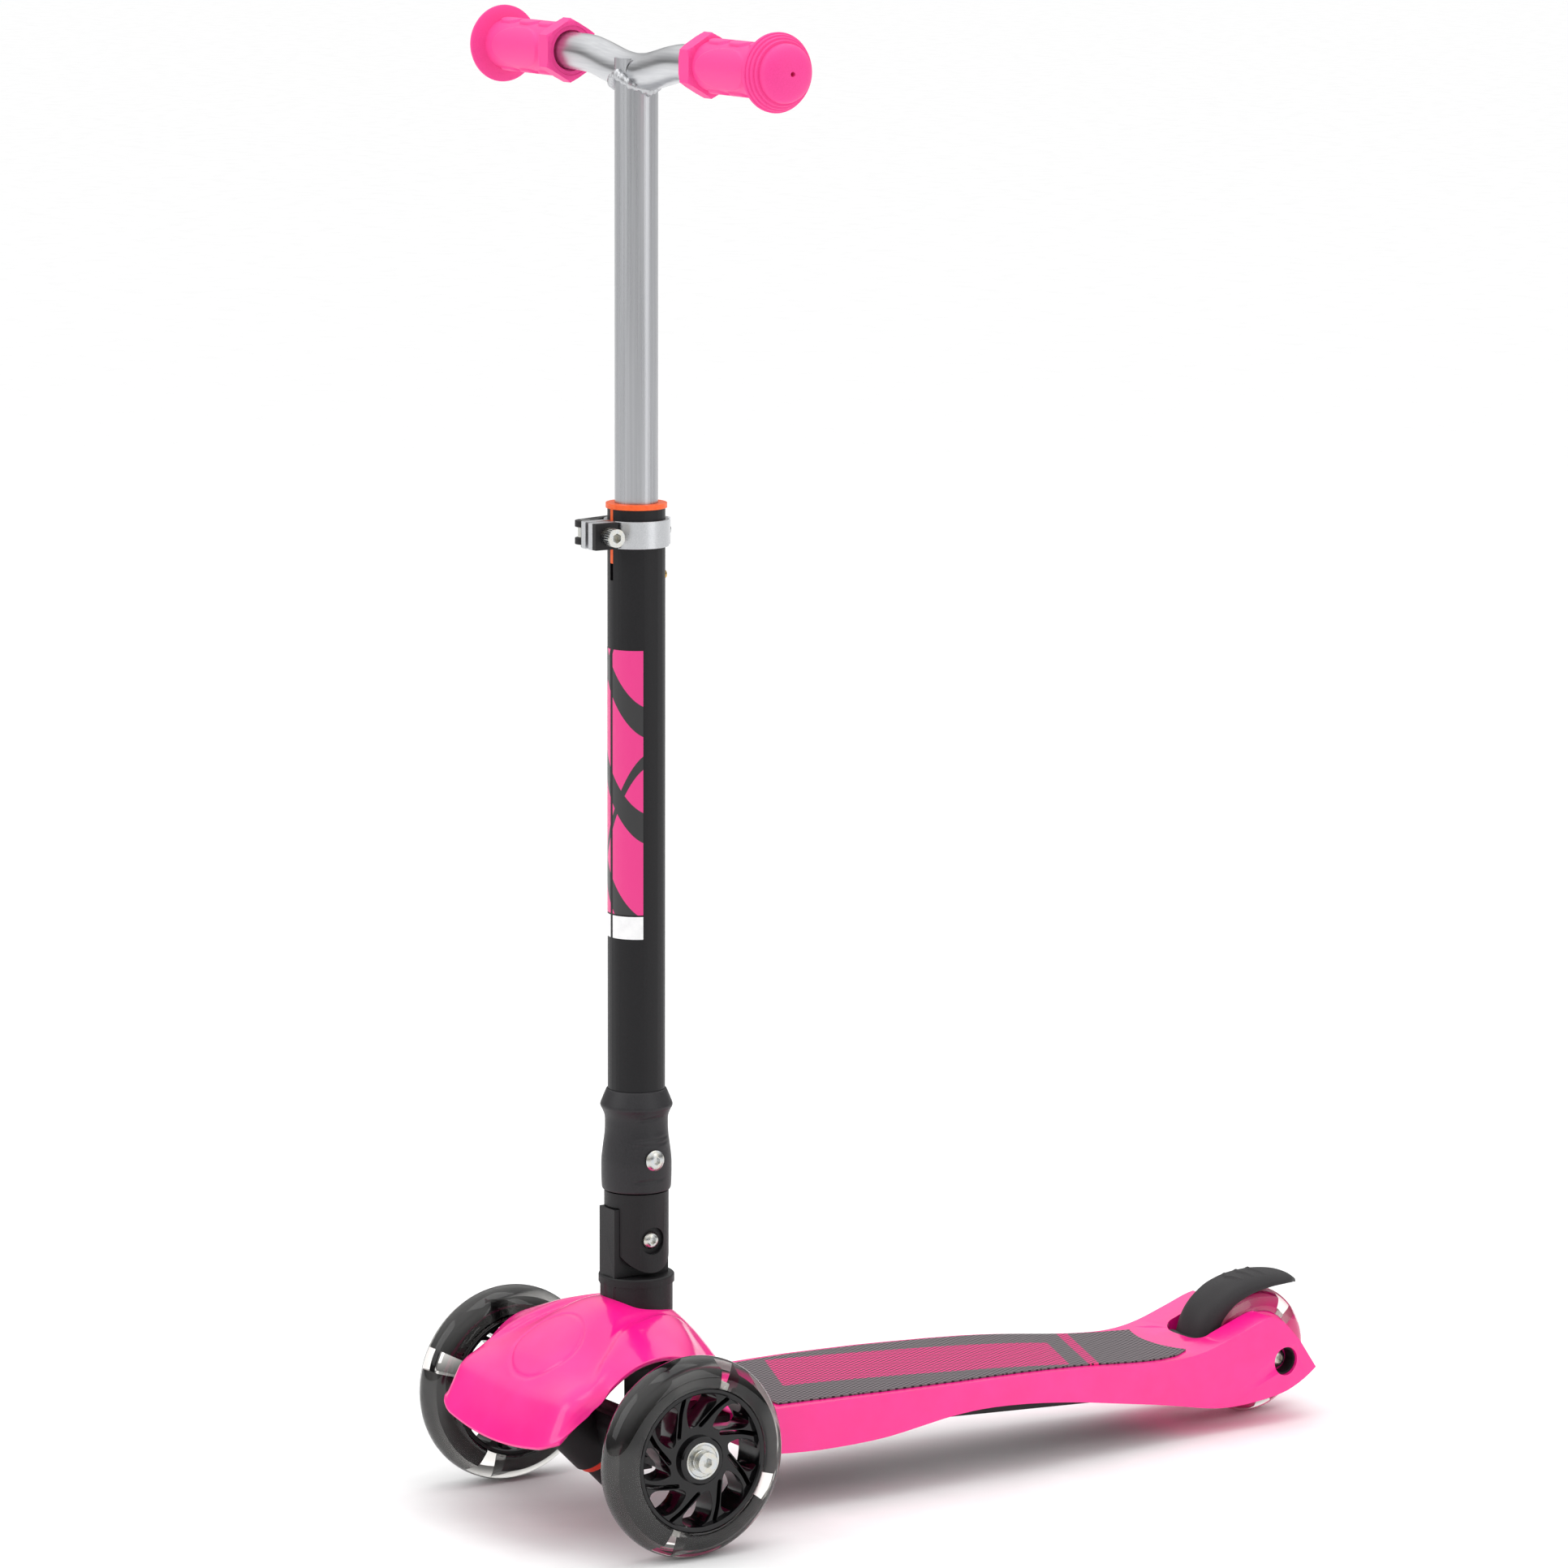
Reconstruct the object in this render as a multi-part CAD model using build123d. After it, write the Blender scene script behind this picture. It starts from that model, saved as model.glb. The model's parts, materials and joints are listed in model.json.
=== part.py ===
"""Three-wheeled kick scooter with a lean-to-steer truck, a folding stem and a telescoping T-bar.

The rider faces -Y and +X is the rider's left.  The geometry is drawn with the front axle's plane at
Y = 0 and moved at export, so that the origin ends up on the floor under the middle of the scooter.
"""

import math
import os

from build123d import *

# ---------------------------------------------------------------- driving dimensions, millimetres
TRACK = 210.0  # between the middle planes of the two front wheels
WHEELBASE = 479.0  # front axle to rear axle
FRONT_R = 60.0  # front wheel radius
REAR_R = 40.0  # rear wheel radius
WHEEL_WIDTH = 25.0
NOSE_Y = -74.0  # foremost point, the hood's nose
STEM_Y = 27.0  # the steering column stands this far behind the front axle
FOLD_Z = 168.3  # height of the fold pivot
STEM_R = 17.0  # black lower tube
STEM_BORE = 15.0
BAR_R = 12.7  # aluminium upper tube
BAR_BORE = 11.0
STEM_TOP = 604.0
HANDLE_Z = 866.0  # height of the grips
HANDLE_DIP = 9.0  # the handlebar's middle hangs this much lower
HANDLE_R = 11.0
HALF_BAR = 167.0  # column to the tip of a grip
BAR_TRAVEL = 200.0  # the T-bar goes down this far
SLEEVE_TRAVEL = 12.0
BUTTON_Z = 563.3
CLAMP_Z = 589.5  # middle of the quick-release clamp
DECK_TOP = 65.0
DECK_START = 80.5
AXLE_R = 4.0  # all three wheels turn on 8 mm axles
KING_Y, KING_Z = -14.0, 54.0  # middle of the steering pivot
KING_TILT = 45.0  # the pivot leans forward at its top, degrees from the vertical
RUNNING = 0.05  # radial clearance of a running fit

ORIGIN_Y = (NOSE_Y + WHEELBASE + REAR_R) / 2
WALL = 3.2  # moulded shells

os.makedirs("parts", exist_ok=True)


# ---------------------------------------------------------------- small helpers
def save(name, shape):
    """Moves a sub-part to the row frame and writes it."""
    export_step(Pos(0, -ORIGIN_Y, 0) * shape, f"parts/{name}.step")


def block(x0, x1, y0, y1, z0, z1):
    """A box from its lowest and highest coordinates."""
    return Pos((x0 + x1) / 2, (y0 + y1) / 2, (z0 + z1) / 2) * Box(x1 - x0, y1 - y0, z1 - z0)


def rod_x(radius, x0, x1, y, z):
    """A round bar along X."""
    return Pos((x0 + x1) / 2, y, z) * Rot(0, 90, 0) * Cylinder(radius, abs(x1 - x0))


def rod_y(radius, y0, y1, x, z):
    """A round bar along Y."""
    return Pos(x, (y0 + y1) / 2, z) * Rot(90, 0, 0) * Cylinder(radius, abs(y1 - y0))


def rod_z(radius, z0, z1, x=0.0, y=STEM_Y):
    """A round bar along Z, on the steering column unless told otherwise."""
    return Pos(x, y, (z0 + z1) / 2) * Cylinder(radius, z1 - z0)


def turned(points, axis=Axis.X):
    """Solid turned about an axis from (along, radius) points."""
    if axis == Axis.X:
        return revolve(make_face(Polyline(*points, close=True)), Axis.X)
    flipped = [(radius, along) for along, radius in points]
    return revolve(Plane.XZ * make_face(Polyline(*flipped, close=True)), Axis.Z)


def on_king(shape):
    """Places a shape drawn along +Z at the steering pivot, along the tilted pivot axis."""
    return Pos(0, KING_Y, KING_Z) * Rot(KING_TILT, 0, 0) * shape


def mirror_x(shape):
    return mirror(shape, Plane.YZ)


def hex_socket(radius, depth):
    """Hexagonal key recess along +Z, its mouth at Z = 0."""
    return extrude(RegularPolygon(radius, 6), -depth)


def button_head(radius, height, socket=2.2):
    """A domed screw head standing on Z = 0, with a key recess."""
    crown = turned([(0, 0), (0, radius), (height * 0.35, radius), (height * 0.8, radius * 0.75),
                    (height, radius * 0.4), (height, 0)], Axis.Z)
    return crown - Pos(0, 0, height) * hex_socket(socket, height * 0.6)


def coil(pitch, height, radius, wire=0.8):
    """Coil spring along +Z."""
    path = Helix(pitch, height, radius)
    return sweep(Plane(origin=path @ 0, z_dir=path % 0) * Circle(wire), path)


def shifted(points, distance):
    """Moves each point square to the line through its neighbours, to the right of the travel."""
    moved = []
    for index, (along, up) in enumerate(points):
        before, after = points[max(index - 1, 0)], points[min(index + 1, len(points) - 1)]
        run, rise = after[0] - before[0], after[1] - before[1]
        length = math.hypot(run, rise)
        moved.append((along + distance * rise / length, up - distance * run / length))
    return moved


# ---------------------------------------------------------------- wheels
FRONT_GAPS = ((66, 14), (251, 14), (334, 18))  # openings in a front core's anchor flange: angle and width, degrees
REAR_GAPS = ((45, 26), (165, 26), (285, 26))
SWIRL_SPOKES = 8
WINDOW = [(21.6, 19), (26, 18.5), (31, 15.5), (35.5, 11), (38.6, 5), (39.6, -3), (39.5, -11), (37.8, -17),
          (34.5, -18.5), (30.5, -15.5), (26.5, -9), (23, -1), (21, 6), (20.6, 13)]  # radius, degrees
SLOT = [(20.5, 0), (23.5, -8.5), (28.5, -16.5), (33, -22), (38.6, -28.5)]  # its middle line
SLOT_WIDTH = 2.8


def tyre(radius, core_radius):
    """Cast tyre with a half-round tread."""
    half = WHEEL_WIDTH / 2
    shoulder = radius - half
    section = make_face([
        Line((-half, core_radius), (-half, shoulder)),
        RadiusArc((-half, shoulder), (half, shoulder), half),
        Line((half, shoulder), (half, core_radius)),
        Line((half, core_radius), (-half, core_radius)),
    ])
    return revolve(section, Axis.X)


def sector(radius, start, sweep, width):
    """Pie slice about X, used to cut segments."""
    face = make_face([
        Line((0, 0), (radius * math.cos(math.radians(start)), radius * math.sin(math.radians(start)))),
        CenterArc((0, 0), radius, start, sweep),
        Line((radius * math.cos(math.radians(start + sweep)), radius * math.sin(math.radians(start + sweep))),
             (0, 0)),
    ])
    return extrude(Plane.YZ * face, width / 2, both=True)


def anchor_segments(inner, outer, gaps):
    """The core's anchor flange inside the tyre, in segments."""
    ring = turned([(-4, inner), (-4, outer - 3), (-1.5, outer), (1.5, outer), (4, outer - 3), (4, inner)])
    for angle, width in gaps:
        ring -= sector(outer + 5, angle - width / 2, width, 20)
    return ring


def light_capsules(radius, gaps):
    """Light capsules that lie in the gaps between the anchor segments."""
    capsules = Part()
    for angle, _ in gaps:
        capsules += Rot(angle, 0, 0) * Pos(0, radius, 0) * Box(7, 3.2, 6)
    return capsules


def polar(points, turn=0.0):
    """Plane points from (radius, degrees) ones."""
    return [(r * math.cos(math.radians(a + turn)), r * math.sin(math.radians(a + turn))) for r, a in points]


def swirl_core():
    """Front core: rim, eight curved spokes with a slot in each, and the hub with two bearing seats."""
    rim, hub, web_in, web_out = 43.0, 15.0, -8.0, 9.0
    core = turned([(-12, 40), (-12, rim), (12, rim), (12, 40)])
    core += turned([(web_in, 10), (web_in, 41), (web_out, 41), (web_out, 10)])
    core += turned([(-12.5, 5), (-12.5, hub), (12.5, hub), (12.5, 5)])
    for index in range(SWIRL_SPOKES):
        turn = index * 360 / SWIRL_SPOKES
        window = make_face(Spline(*polar(WINDOW, turn), periodic=True))
        core -= extrude(Plane.YZ * window, 15, both=True)
        middle = polar(SLOT, turn)
        sides = shifted(middle, SLOT_WIDTH / 2) + shifted(middle, -SLOT_WIDTH / 2)[::-1]
        core -= extrude(Plane.YZ * make_face(Polyline(*sides, close=True)), 15, both=True)
    return core - bearing_seats()


def rear_core():
    """Rear core: a plain disc with five round windows."""
    core = turned([(-12, 22), (-12, 26), (12, 26), (12, 22)])
    core += turned([(-5, 10), (-5, 23), (5, 23), (5, 10)])
    core += turned([(-12.5, 5), (-12.5, 14), (12.5, 14), (12.5, 5)])
    for index in range(5):
        core -= Rot(index * 72, 0, 0) * rod_x(2.6, -20, 20, 18, 0)
    return core - bearing_seats()


def bearing_seats():
    return rod_x(11, -13, -5.5, 0, 0) + rod_x(11, 5.5, 13, 0, 0) + rod_x(5.5, -13, 13, 0, 0)


def bearings():
    """Two shielded ball bearings, 22 by 8 by 7 mm."""
    bore = AXLE_R + RUNNING
    one = turned([(5.5, bore), (5.5, 11), (12.5, 11), (12.5, 9.6), (12.1, 9.4), (12.1, 6.4), (12.5, 6.2),
                  (12.5, bore)])
    return one + mirror_x(one)


def wheel(prefix, place, front):
    """Writes the four nodes of one wheel."""
    radius, core_radius = (FRONT_R, 43.0) if front else (REAR_R, 26.0)
    gaps = FRONT_GAPS if front else REAR_GAPS
    flange = anchor_segments(core_radius, radius - 7.5 if front else radius - 5, gaps)
    lights = light_capsules(core_radius + 2.5, gaps)
    core = (swirl_core() if front else rear_core()) + flange
    save(f"{prefix}_tyre", place * (tyre(radius, core_radius) - flange - lights))
    save(f"{prefix}_core", place * core)
    save(f"{prefix}_bearings", place * bearings())
    save(f"{prefix}_lights", place * (lights - rod_x(core_radius, -20, 20, 0, 0)))


# ---------------------------------------------------------------- steering truck
HUB_HALF = 17.0  # half length of the truck's pivot hub
BUMPER = 5.0
KING_R = 5.0


def truck_hanger():
    """The beam between the front wheels, with the pivot hub that turns on the kingpin."""
    hub = on_king(Cylinder(16, 2 * HUB_HALF))
    beam = block(-60, 60, -9, 10, 50, 69) + rod_x(9.5, -88, 88, 0, FRONT_R)
    ribs = block(-74, 74, -3, 3, 46, 60)
    body = hub + beam + ribs
    body -= on_king(Cylinder(KING_R + RUNNING, 60))
    body -= on_king(Pos(0, 0, HUB_HALF + 20) * Cylinder(30, 40))
    body -= on_king(Pos(0, 0, -HUB_HALF - 20) * Cylinder(30, 40))
    return body - rod_x(AXLE_R, 50, 90, 0, FRONT_R) - rod_x(AXLE_R, -90, -50, 0, FRONT_R)


def truck_mount():
    """The bracket under the hood that holds both ends of the kingpin."""
    top_ear = on_king(Pos(0, 0, 31) * Cylinder(16, 18))
    low_ear = on_king(Pos(0, 0, -30.5) * Cylinder(13, 17))
    bridge = block(-16, 16, -34, 34, 90, 98)
    strut = block(-14, 14, 27, 36, 30, 98)
    foot = block(-13, 13, 8, 30, 28, 38)
    body = top_ear + low_ear + bridge + strut + foot
    body -= on_king(Cylinder(18, 2 * (HUB_HALF + BUMPER)))
    body -= on_king(Pos(0, 0, -49) * Cylinder(10, 20))
    return body - on_king(Cylinder(KING_R, 120))


def steering_bumpers():
    """Two elastic rings that bring the truck back to straight ahead."""
    ring = Cylinder(14.5, BUMPER - 0.3) - Cylinder(KING_R + 0.2, 20)
    middle = HUB_HALF + BUMPER / 2 + 0.1
    return on_king(Pos(0, 0, middle) * ring) + on_king(Pos(0, 0, -middle) * ring)


def kingpin():
    """Steel pivot bolt with its head at the top."""
    shank = Pos(0, 0, 1) * Cylinder(KING_R, 82)
    head = Pos(0, 0, 40) * button_head(8.5, 5.0, 3.0)
    return on_king(shank - Pos(0, 0, 60) * Cylinder(20, 40) + head)


def kingpin_nut():
    nut = extrude(RegularPolygon(8.5, 6), 6.5) - Cylinder(KING_R, 60)
    return on_king(Pos(0, 0, -39 - 6.5) * nut)


def front_axle_bolt():
    """Left axle bolt: shank in the beam, low head outside the wheel."""
    outer = TRACK / 2 + WHEEL_WIDTH / 2
    shank = rod_x(AXLE_R, 50, outer + 2, 0, FRONT_R)
    head = rod_x(6.5, outer + 1.6, outer + 5.5, 0, FRONT_R)
    socket = Pos(outer + 5.5, 0, FRONT_R) * Rot(0, 90, 0) * hex_socket(2.9, 3.0)
    return shank + head - socket


def front_axle_washers():
    """A spacer inside each wheel and a washer outside it."""
    outer = TRACK / 2 + WHEEL_WIDTH / 2
    inner = TRACK / 2 - WHEEL_WIDTH / 2
    pair = rod_x(6.4, 88, inner - 0.05, 0, FRONT_R) + rod_x(6.0, outer + 0.05, outer + 1.6, 0, FRONT_R)
    pair -= rod_x(AXLE_R, 50, 140, 0, FRONT_R)
    return pair + mirror_x(pair)


# ---------------------------------------------------------------- hood and neck
HOOD_BACK = 95.0
NECK_R = 21.6
HOOD_TOP = [(NOSE_Y, 57), (-67, 72.5), (-58.5, 88), (-51, 97.5), (-44, 105), (-34, 113.5), (-23, 121.5), (-11, 128.5),
            (2, 133.2), (16, 134.2), (30, 132), (44, 125.5), (54, 116.5), (63, 106), (72, 93.5), (81, 81.5),
            (88, 74), (HOOD_BACK, 70)]
HOOD_PLAN = [(NOSE_Y, 30), (-72, 48), (-68, 57), (-63, 64.5), (-45, 67.5), (-30, 71), (-10, 74.5), (5, 74.5), (20, 72),
             (40, 66.5), (60, 59.5), (HOOD_BACK, 55.5)]
HOOD_CROWN = [(135, 24), (130.5, 42), (124, 58), (115, 75), (106, 76), (0, 76)]
HOOD_LOW = 57.0  # lower edge
ARCH_R = 53.5  # wheel arch radius about the front axle


def mirrored_outline(points):
    """Closed outline, symmetric about the first local axis' zero, from (along, half width) points."""
    right = [(half, along) for along, half in points]
    left = [(-half, along) for along, half in reversed(points)]
    return make_face(Polyline(*right, *left, close=True))


def hood_mass(inset):
    """The hood's outer form, or its hollow when inset is the wall."""
    top = shifted(HOOD_TOP, inset)
    side = make_face([Spline(*top), Polyline(top[-1], (top[-1][0], 0), (top[0][0], 0), top[0])])
    plan = mirrored_outline(HOOD_PLAN)
    crown = mirrored_outline(HOOD_CROWN)
    if inset:
        plan, crown = offset(plan, -inset), offset(crown, -inset)
    mass = extrude(Plane.YZ * side, 90, both=True)
    mass &= extrude(plan, 150)
    return mass & extrude(Plane.XZ * crown, 120, both=True)


def front_hood():
    """Thin moulded hood, open below, with an arch over each wheel."""
    shell = hood_mass(0)
    shell -= block(-90, 90, NOSE_Y - 5, DECK_START, -10, HOOD_LOW)
    shell -= block(-90, 90, DECK_START - 1, HOOD_BACK + 5, -10, DECK_TOP + 0.4)
    shell -= rod_x(ARCH_R, 30, 90, 0, FRONT_R)
    shell -= rod_x(ARCH_R, -90, -30, 0, FRONT_R)
    shell -= hood_mass(WALL)
    return shell - rod_z(NECK_R, 60, 150)


TONGUE = 8.5  # half thickness of the lower knuckle's tongue
CHEEK_R = 19.2  # outer radius of the knuckle
FLANGE_TOP = 146.0


def neck_knuckle():
    """Neck post with its flange and the tongue that the stem folds on."""
    post = rod_z(NECK_R, 98, 141) + rod_z(22.6, 141, FLANGE_TOP)
    post = fillet(post.edges().group_by(Axis.Z)[-1], 1.2)
    front = block(-TONGUE, TONGUE, STEM_Y - 20.5, STEM_Y, 140, FOLD_Z + 19)
    rear = block(-TONGUE, TONGUE, STEM_Y - 1, STEM_Y + 17, 140, FOLD_Z)
    crown = rod_x(19, -TONGUE, TONGUE, STEM_Y, FOLD_Z) & block(-20, 20, STEM_Y - 1, STEM_Y + 17, 150, 200)
    body = post + front + rear + crown
    body -= rod_z(4.4, FOLD_Z + 12, FOLD_Z + 30)
    return body - rod_x(AXLE_R + RUNNING, -20, 20, STEM_Y, FOLD_Z)


# ---------------------------------------------------------------- deck
DECK_UPPER = [(DECK_START, DECK_TOP), (150, 65), (222, 63.5), (295, 60.6), (325, 58.4), (354, 55.3), (385, 52.8),
              (408, 53.2), (424, 56.2), (438, 60.6), (452, 65.3), (460, 68.1), (467.5, 69.8)]
DECK_TAIL = [(467.5, 69.8), (476.5, 65.9), (490, 52.3), (504.5, 32.5)]
DECK_LOWER = [(504.5, 32.5), (489.5, 24.3), (475, 19.8), (453, 16.8), (432, 16.4), (417.5, 18.2), (397, 22.4),
              (369, 28), (342, 33), (315, 38), (262, 44.5), (222, 45), (171, 38.5), (140, 36.5), (DECK_START, 38.5)]
DECK_PLAN = [(DECK_START, 54), (120, 57), (170, 59), (222, 58.5), (295, 54), (358, 47.5), (395, 43.5), (430, 42),
             (480, 42), (504.5, 39)]
SPINE_HALF, SPINE_LOW, SPINE_TOP = 20.0, 44.0, 56.0  # the stiffener's tongue between deck and truck
SLOT_Y = 420.0  # the rear slot starts here
SLOT_HALF = 21.0


def deck_mass():
    """The deck's outer form."""
    side = make_face([Spline(*DECK_UPPER), Polyline(*DECK_TAIL), Spline(*DECK_LOWER),
                      Line(DECK_LOWER[-1], DECK_UPPER[0])])
    return extrude(Plane.YZ * side, 90, both=True) & extrude(mirrored_outline(DECK_PLAN), 120)


def deck_cavity():
    """The room under the deck's skin."""
    end = DECK_UPPER[-1]
    under = make_face([Spline(*DECK_UPPER), Polyline(end, (end[0], 0), (DECK_START, 0), DECK_UPPER[0])])
    room = Pos(0, 0, -WALL) * extrude(Plane.YZ * under, 90, both=True)
    room &= extrude(offset(mirrored_outline(DECK_PLAN), -WALL), 120)
    return room & block(-90, 90, DECK_START + WALL, 404, -10, 120)


def rear_slot():
    """The opening for the rear wheel and the brake, with rounded front corners."""
    corner = 14.0
    inner = SLOT_HALF - corner
    slot = block(-SLOT_HALF, SLOT_HALF, SLOT_Y + corner, 520, 0, 120)
    slot += block(-inner, inner, SLOT_Y, SLOT_Y + 2 * corner, 0, 120)
    for side in (1, -1):
        slot += rod_z(corner, 0, 120, side * inner, SLOT_Y + corner)
    return slot


def deck():
    """Moulded deck, hollow below, whose tail forks around the rear wheel."""
    body = deck_mass() - deck_cavity() - rear_slot()
    body -= block(-SPINE_HALF, SPINE_HALF, DECK_START - 1, DECK_START + WALL + 1, SPINE_LOW, SPINE_TOP)
    for side in (1, -1):
        body -= rod_x(9, side * 30, side * 50, WHEELBASE, REAR_R)
        body -= rod_x(AXLE_R, side * 15, side * 35, WHEELBASE, REAR_R)
        body -= rod_x(BRAKE_PIN_R, side * 15, side * 30, BRAKE_Y, BRAKE_Z)
    return body


MAT_PLAN = [(97, 47), (130, 50.5), (170, 53), (222, 52.5), (295, 48), (350, 43), (385, 39), (400, 35.5), (412, 29)]
MAT_THICK = 1.2
MAT_END_R = 75.5  # the mat ends on a circle about the rear axle


def grip_mat():
    """Thin printed mat that lies on the deck."""
    top = Spline(*DECK_UPPER)
    end = DECK_UPPER[-1]
    under = make_face([top, Polyline(end, (end[0], 120), (DECK_START, 120), DECK_UPPER[0])])
    over = Pos(0, 0, MAT_THICK) * extrude(Plane.YZ * under, 90, both=True)
    mat = extrude(Plane.YZ * under, 90, both=True) - over
    mat &= extrude(mirrored_outline(MAT_PLAN), 120)
    return mat - rod_z(MAT_END_R, 0, 120, 0, WHEELBASE)


def belly_plate():
    """Ribbed stiffener inside the deck, which also carries the truck mount and the neck."""
    beam = make_face(Polyline((84.5, 57), (222, 56), (330, 50), (400, 44), (400, 31), (330, 33), (222, 38.5),
                              (140, 42), (84.5, 42), close=True))
    plate = extrude(Plane.YZ * beam, 40, both=True) & extrude(offset(mirrored_outline(DECK_PLAN), -5.5), 120)
    pockets = Part()
    for index in range(6):
        start = 100 + index * 48
        pockets += block(-34, -3, start, start + 42, 0, 46 - index * 1.2)
        pockets += block(3, 34, start, start + 42, 0, 46 - index * 1.2)
    spine = block(-SPINE_HALF, SPINE_HALF, 36, 84.5, SPINE_LOW, SPINE_TOP)
    spine += block(-SPINE_HALF, SPINE_HALF, 36, 44, SPINE_LOW, 98)
    return plate - pockets + spine


def deck_screws():
    """Six screws that hold the stiffener to the deck."""
    screws = Part()
    for side in (-1, 1):
        for y in (96, 240, 388):
            floor = 31 if y > 300 else 37
            screws += Pos(side * 20, y, floor - 2.2) * Rot(180, 0, 0) * Pos(0, 0, -2.2) * button_head(3.6, 2.2, 1.4)
    return screws - belly_plate()


# ---------------------------------------------------------------- rear axle and brake
BRAKE_Y, BRAKE_Z = 431.0, 49.0
BRAKE_PIN_R = 2.5
FENDER_OUT = [(428.5, 46), (430.5, 56), (433.5, 65), (438.3, 73), (445, 79.9), (454.2, 85.9), (466, 89.8),
              (477.5, 91.2), (488.5, 91), (500, 89), (508.5, 84.9), (514.5, 79.8)]
FENDER_IN = [(513.3, 78.6), (504, 83), (495, 85.8), (480, 87), (467, 86), (456, 82), (447.5, 76), (441, 68.5),
             (437, 60), (435.5, 46)]
SKIRT_LOW = [(513.3, 78.6), (503, 80.6), (485.5, 80.9), (474, 79.9), (463, 76.2), (453.3, 70.4), (446.5, 61),
             (443.8, 55.4), (442, 46)]
FENDER_HALF = 17.0


def brake_fender():
    """Curved brake pedal over the rear wheel."""
    outer = Spline(*FENDER_OUT)
    plate_face = make_face([outer, Line(FENDER_OUT[-1], FENDER_IN[0]), Spline(*FENDER_IN),
                            Line(FENDER_IN[-1], FENDER_OUT[0])])
    skirt_face = make_face([outer, Line(FENDER_OUT[-1], SKIRT_LOW[0]), Spline(*SKIRT_LOW),
                            Line(SKIRT_LOW[-1], FENDER_OUT[0])])
    body = extrude(Plane.YZ * plate_face, FENDER_HALF, both=True)
    skirts = extrude(Plane.YZ * skirt_face, FENDER_HALF, both=True)
    skirts -= block(-14.5, 14.5, 400, 530, 0, 120)
    body += skirts + rod_x(6, -FENDER_HALF, FENDER_HALF, BRAKE_Y, BRAKE_Z)
    body -= block(-7, 7, 400, 439, 30, 58)
    return body - rod_x(BRAKE_PIN_R + RUNNING, -30, 30, BRAKE_Y, BRAKE_Z)


def brake_spring():
    """Torsion spring round the brake pin."""
    return Pos(-5, BRAKE_Y, BRAKE_Z) * Rot(0, 90, 0) * coil(2.2, 10, 4.4)


def rear_axle_bolt():
    shank = rod_x(AXLE_R, -33, 31, WHEELBASE, REAR_R)
    head = Pos(30, WHEELBASE, REAR_R) * Rot(0, 90, 0) * button_head(6.2, 4.6, 2.6)
    return shank + head


def rear_axle_nut():
    nut = extrude(RegularPolygon(6.4, 6), 5) - Cylinder(AXLE_R, 30)
    return Pos(-30, WHEELBASE, REAR_R) * Rot(0, -90, 0) * nut


def rear_axle_spacers():
    one = rod_x(6.4, WHEEL_WIDTH / 2 + 0.05, SLOT_HALF, WHEELBASE, REAR_R)
    one -= rod_x(AXLE_R, 0, 40, WHEELBASE, REAR_R)
    return one + mirror_x(one)


def rear_axle_cups():
    """Dark liners in the two axle recesses."""
    cup = rod_x(9, 30, 39, WHEELBASE, REAR_R) - rod_x(7.8, 29, 50, WHEELBASE, REAR_R)
    return cup + mirror_x(cup)


# ---------------------------------------------------------------- stem
SHOULDER_Z = 196.5
PLUG_TOP = 262.0
TUBE_BOTTOM = 212.0
BOLT_Z = 217.3  # cross bolt of the release sleeve


def travel_slot(radius):
    """Room for the cross bolt to rise with the sleeve."""
    low, high = BOLT_Z, BOLT_Z + SLEEVE_TRAVEL
    slot = rod_x(radius, -30, 30, STEM_Y, low) + rod_x(radius, -30, 30, STEM_Y, high)
    return slot + block(-30, 30, STEM_Y - radius, STEM_Y + radius, low, high)


def upper_knuckle():
    """Forked knuckle that swings on the tongue, with the plug that fills the stem tube."""
    round_end = rod_x(CHEEK_R, -30, 30, STEM_Y, FOLD_Z) + block(-30, 30, 0, 60, FOLD_Z, 200)
    fork = rod_z(CHEEK_R, 140, SHOULDER_Z) & round_end
    fork -= block(-TONGUE - 0.3, TONGUE + 0.3, 0, 60, 130, FOLD_Z + 19.6)
    body = fork + rod_z(STEM_R, SHOULDER_Z, TUBE_BOTTOM) + rod_z(STEM_BORE, TUBE_BOTTOM, PLUG_TOP)
    body -= travel_slot(3.3)
    body -= rod_z(4.3, FOLD_Z + 15, PLUG_TOP + 1)
    body -= rod_z(7.2, BOLT_Z + 8, PLUG_TOP - 3)
    for side in (1, -1):
        body -= rod_x(8.2, side * 15.5, side * 25, STEM_Y, FOLD_Z)
    return body - rod_x(AXLE_R, -30, 30, STEM_Y, FOLD_Z)


def stem_tube():
    """Black steel tube, slotted at the top so that the clamp can close it."""
    tube = rod_z(STEM_R, TUBE_BOTTOM, STEM_TOP) - rod_z(STEM_BORE, TUBE_BOTTOM - 1, STEM_TOP + 1)
    tube -= block(-1.5, 1.5, STEM_Y - 20, STEM_Y - 10, STEM_TOP - 42, STEM_TOP + 1)
    tube -= travel_slot(3.3)
    for drop in (0, BAR_TRAVEL):
        tube -= rod_y(3.5, STEM_Y + 10, STEM_Y + 20, 0, BUTTON_Z - drop)
    return tube


def reducer_bushing():
    """Split guide between the two tubes; its rib shows in the tube's slot."""
    bushing = rod_z(STEM_BORE, 572, STEM_TOP) + rod_z(18, STEM_TOP, STEM_TOP + 3)
    bushing += block(-1.5, 1.5, STEM_Y - 17, STEM_Y - 14.5, 572, STEM_TOP)
    return bushing - rod_z(BAR_R + RUNNING, 560, 620)


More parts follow.
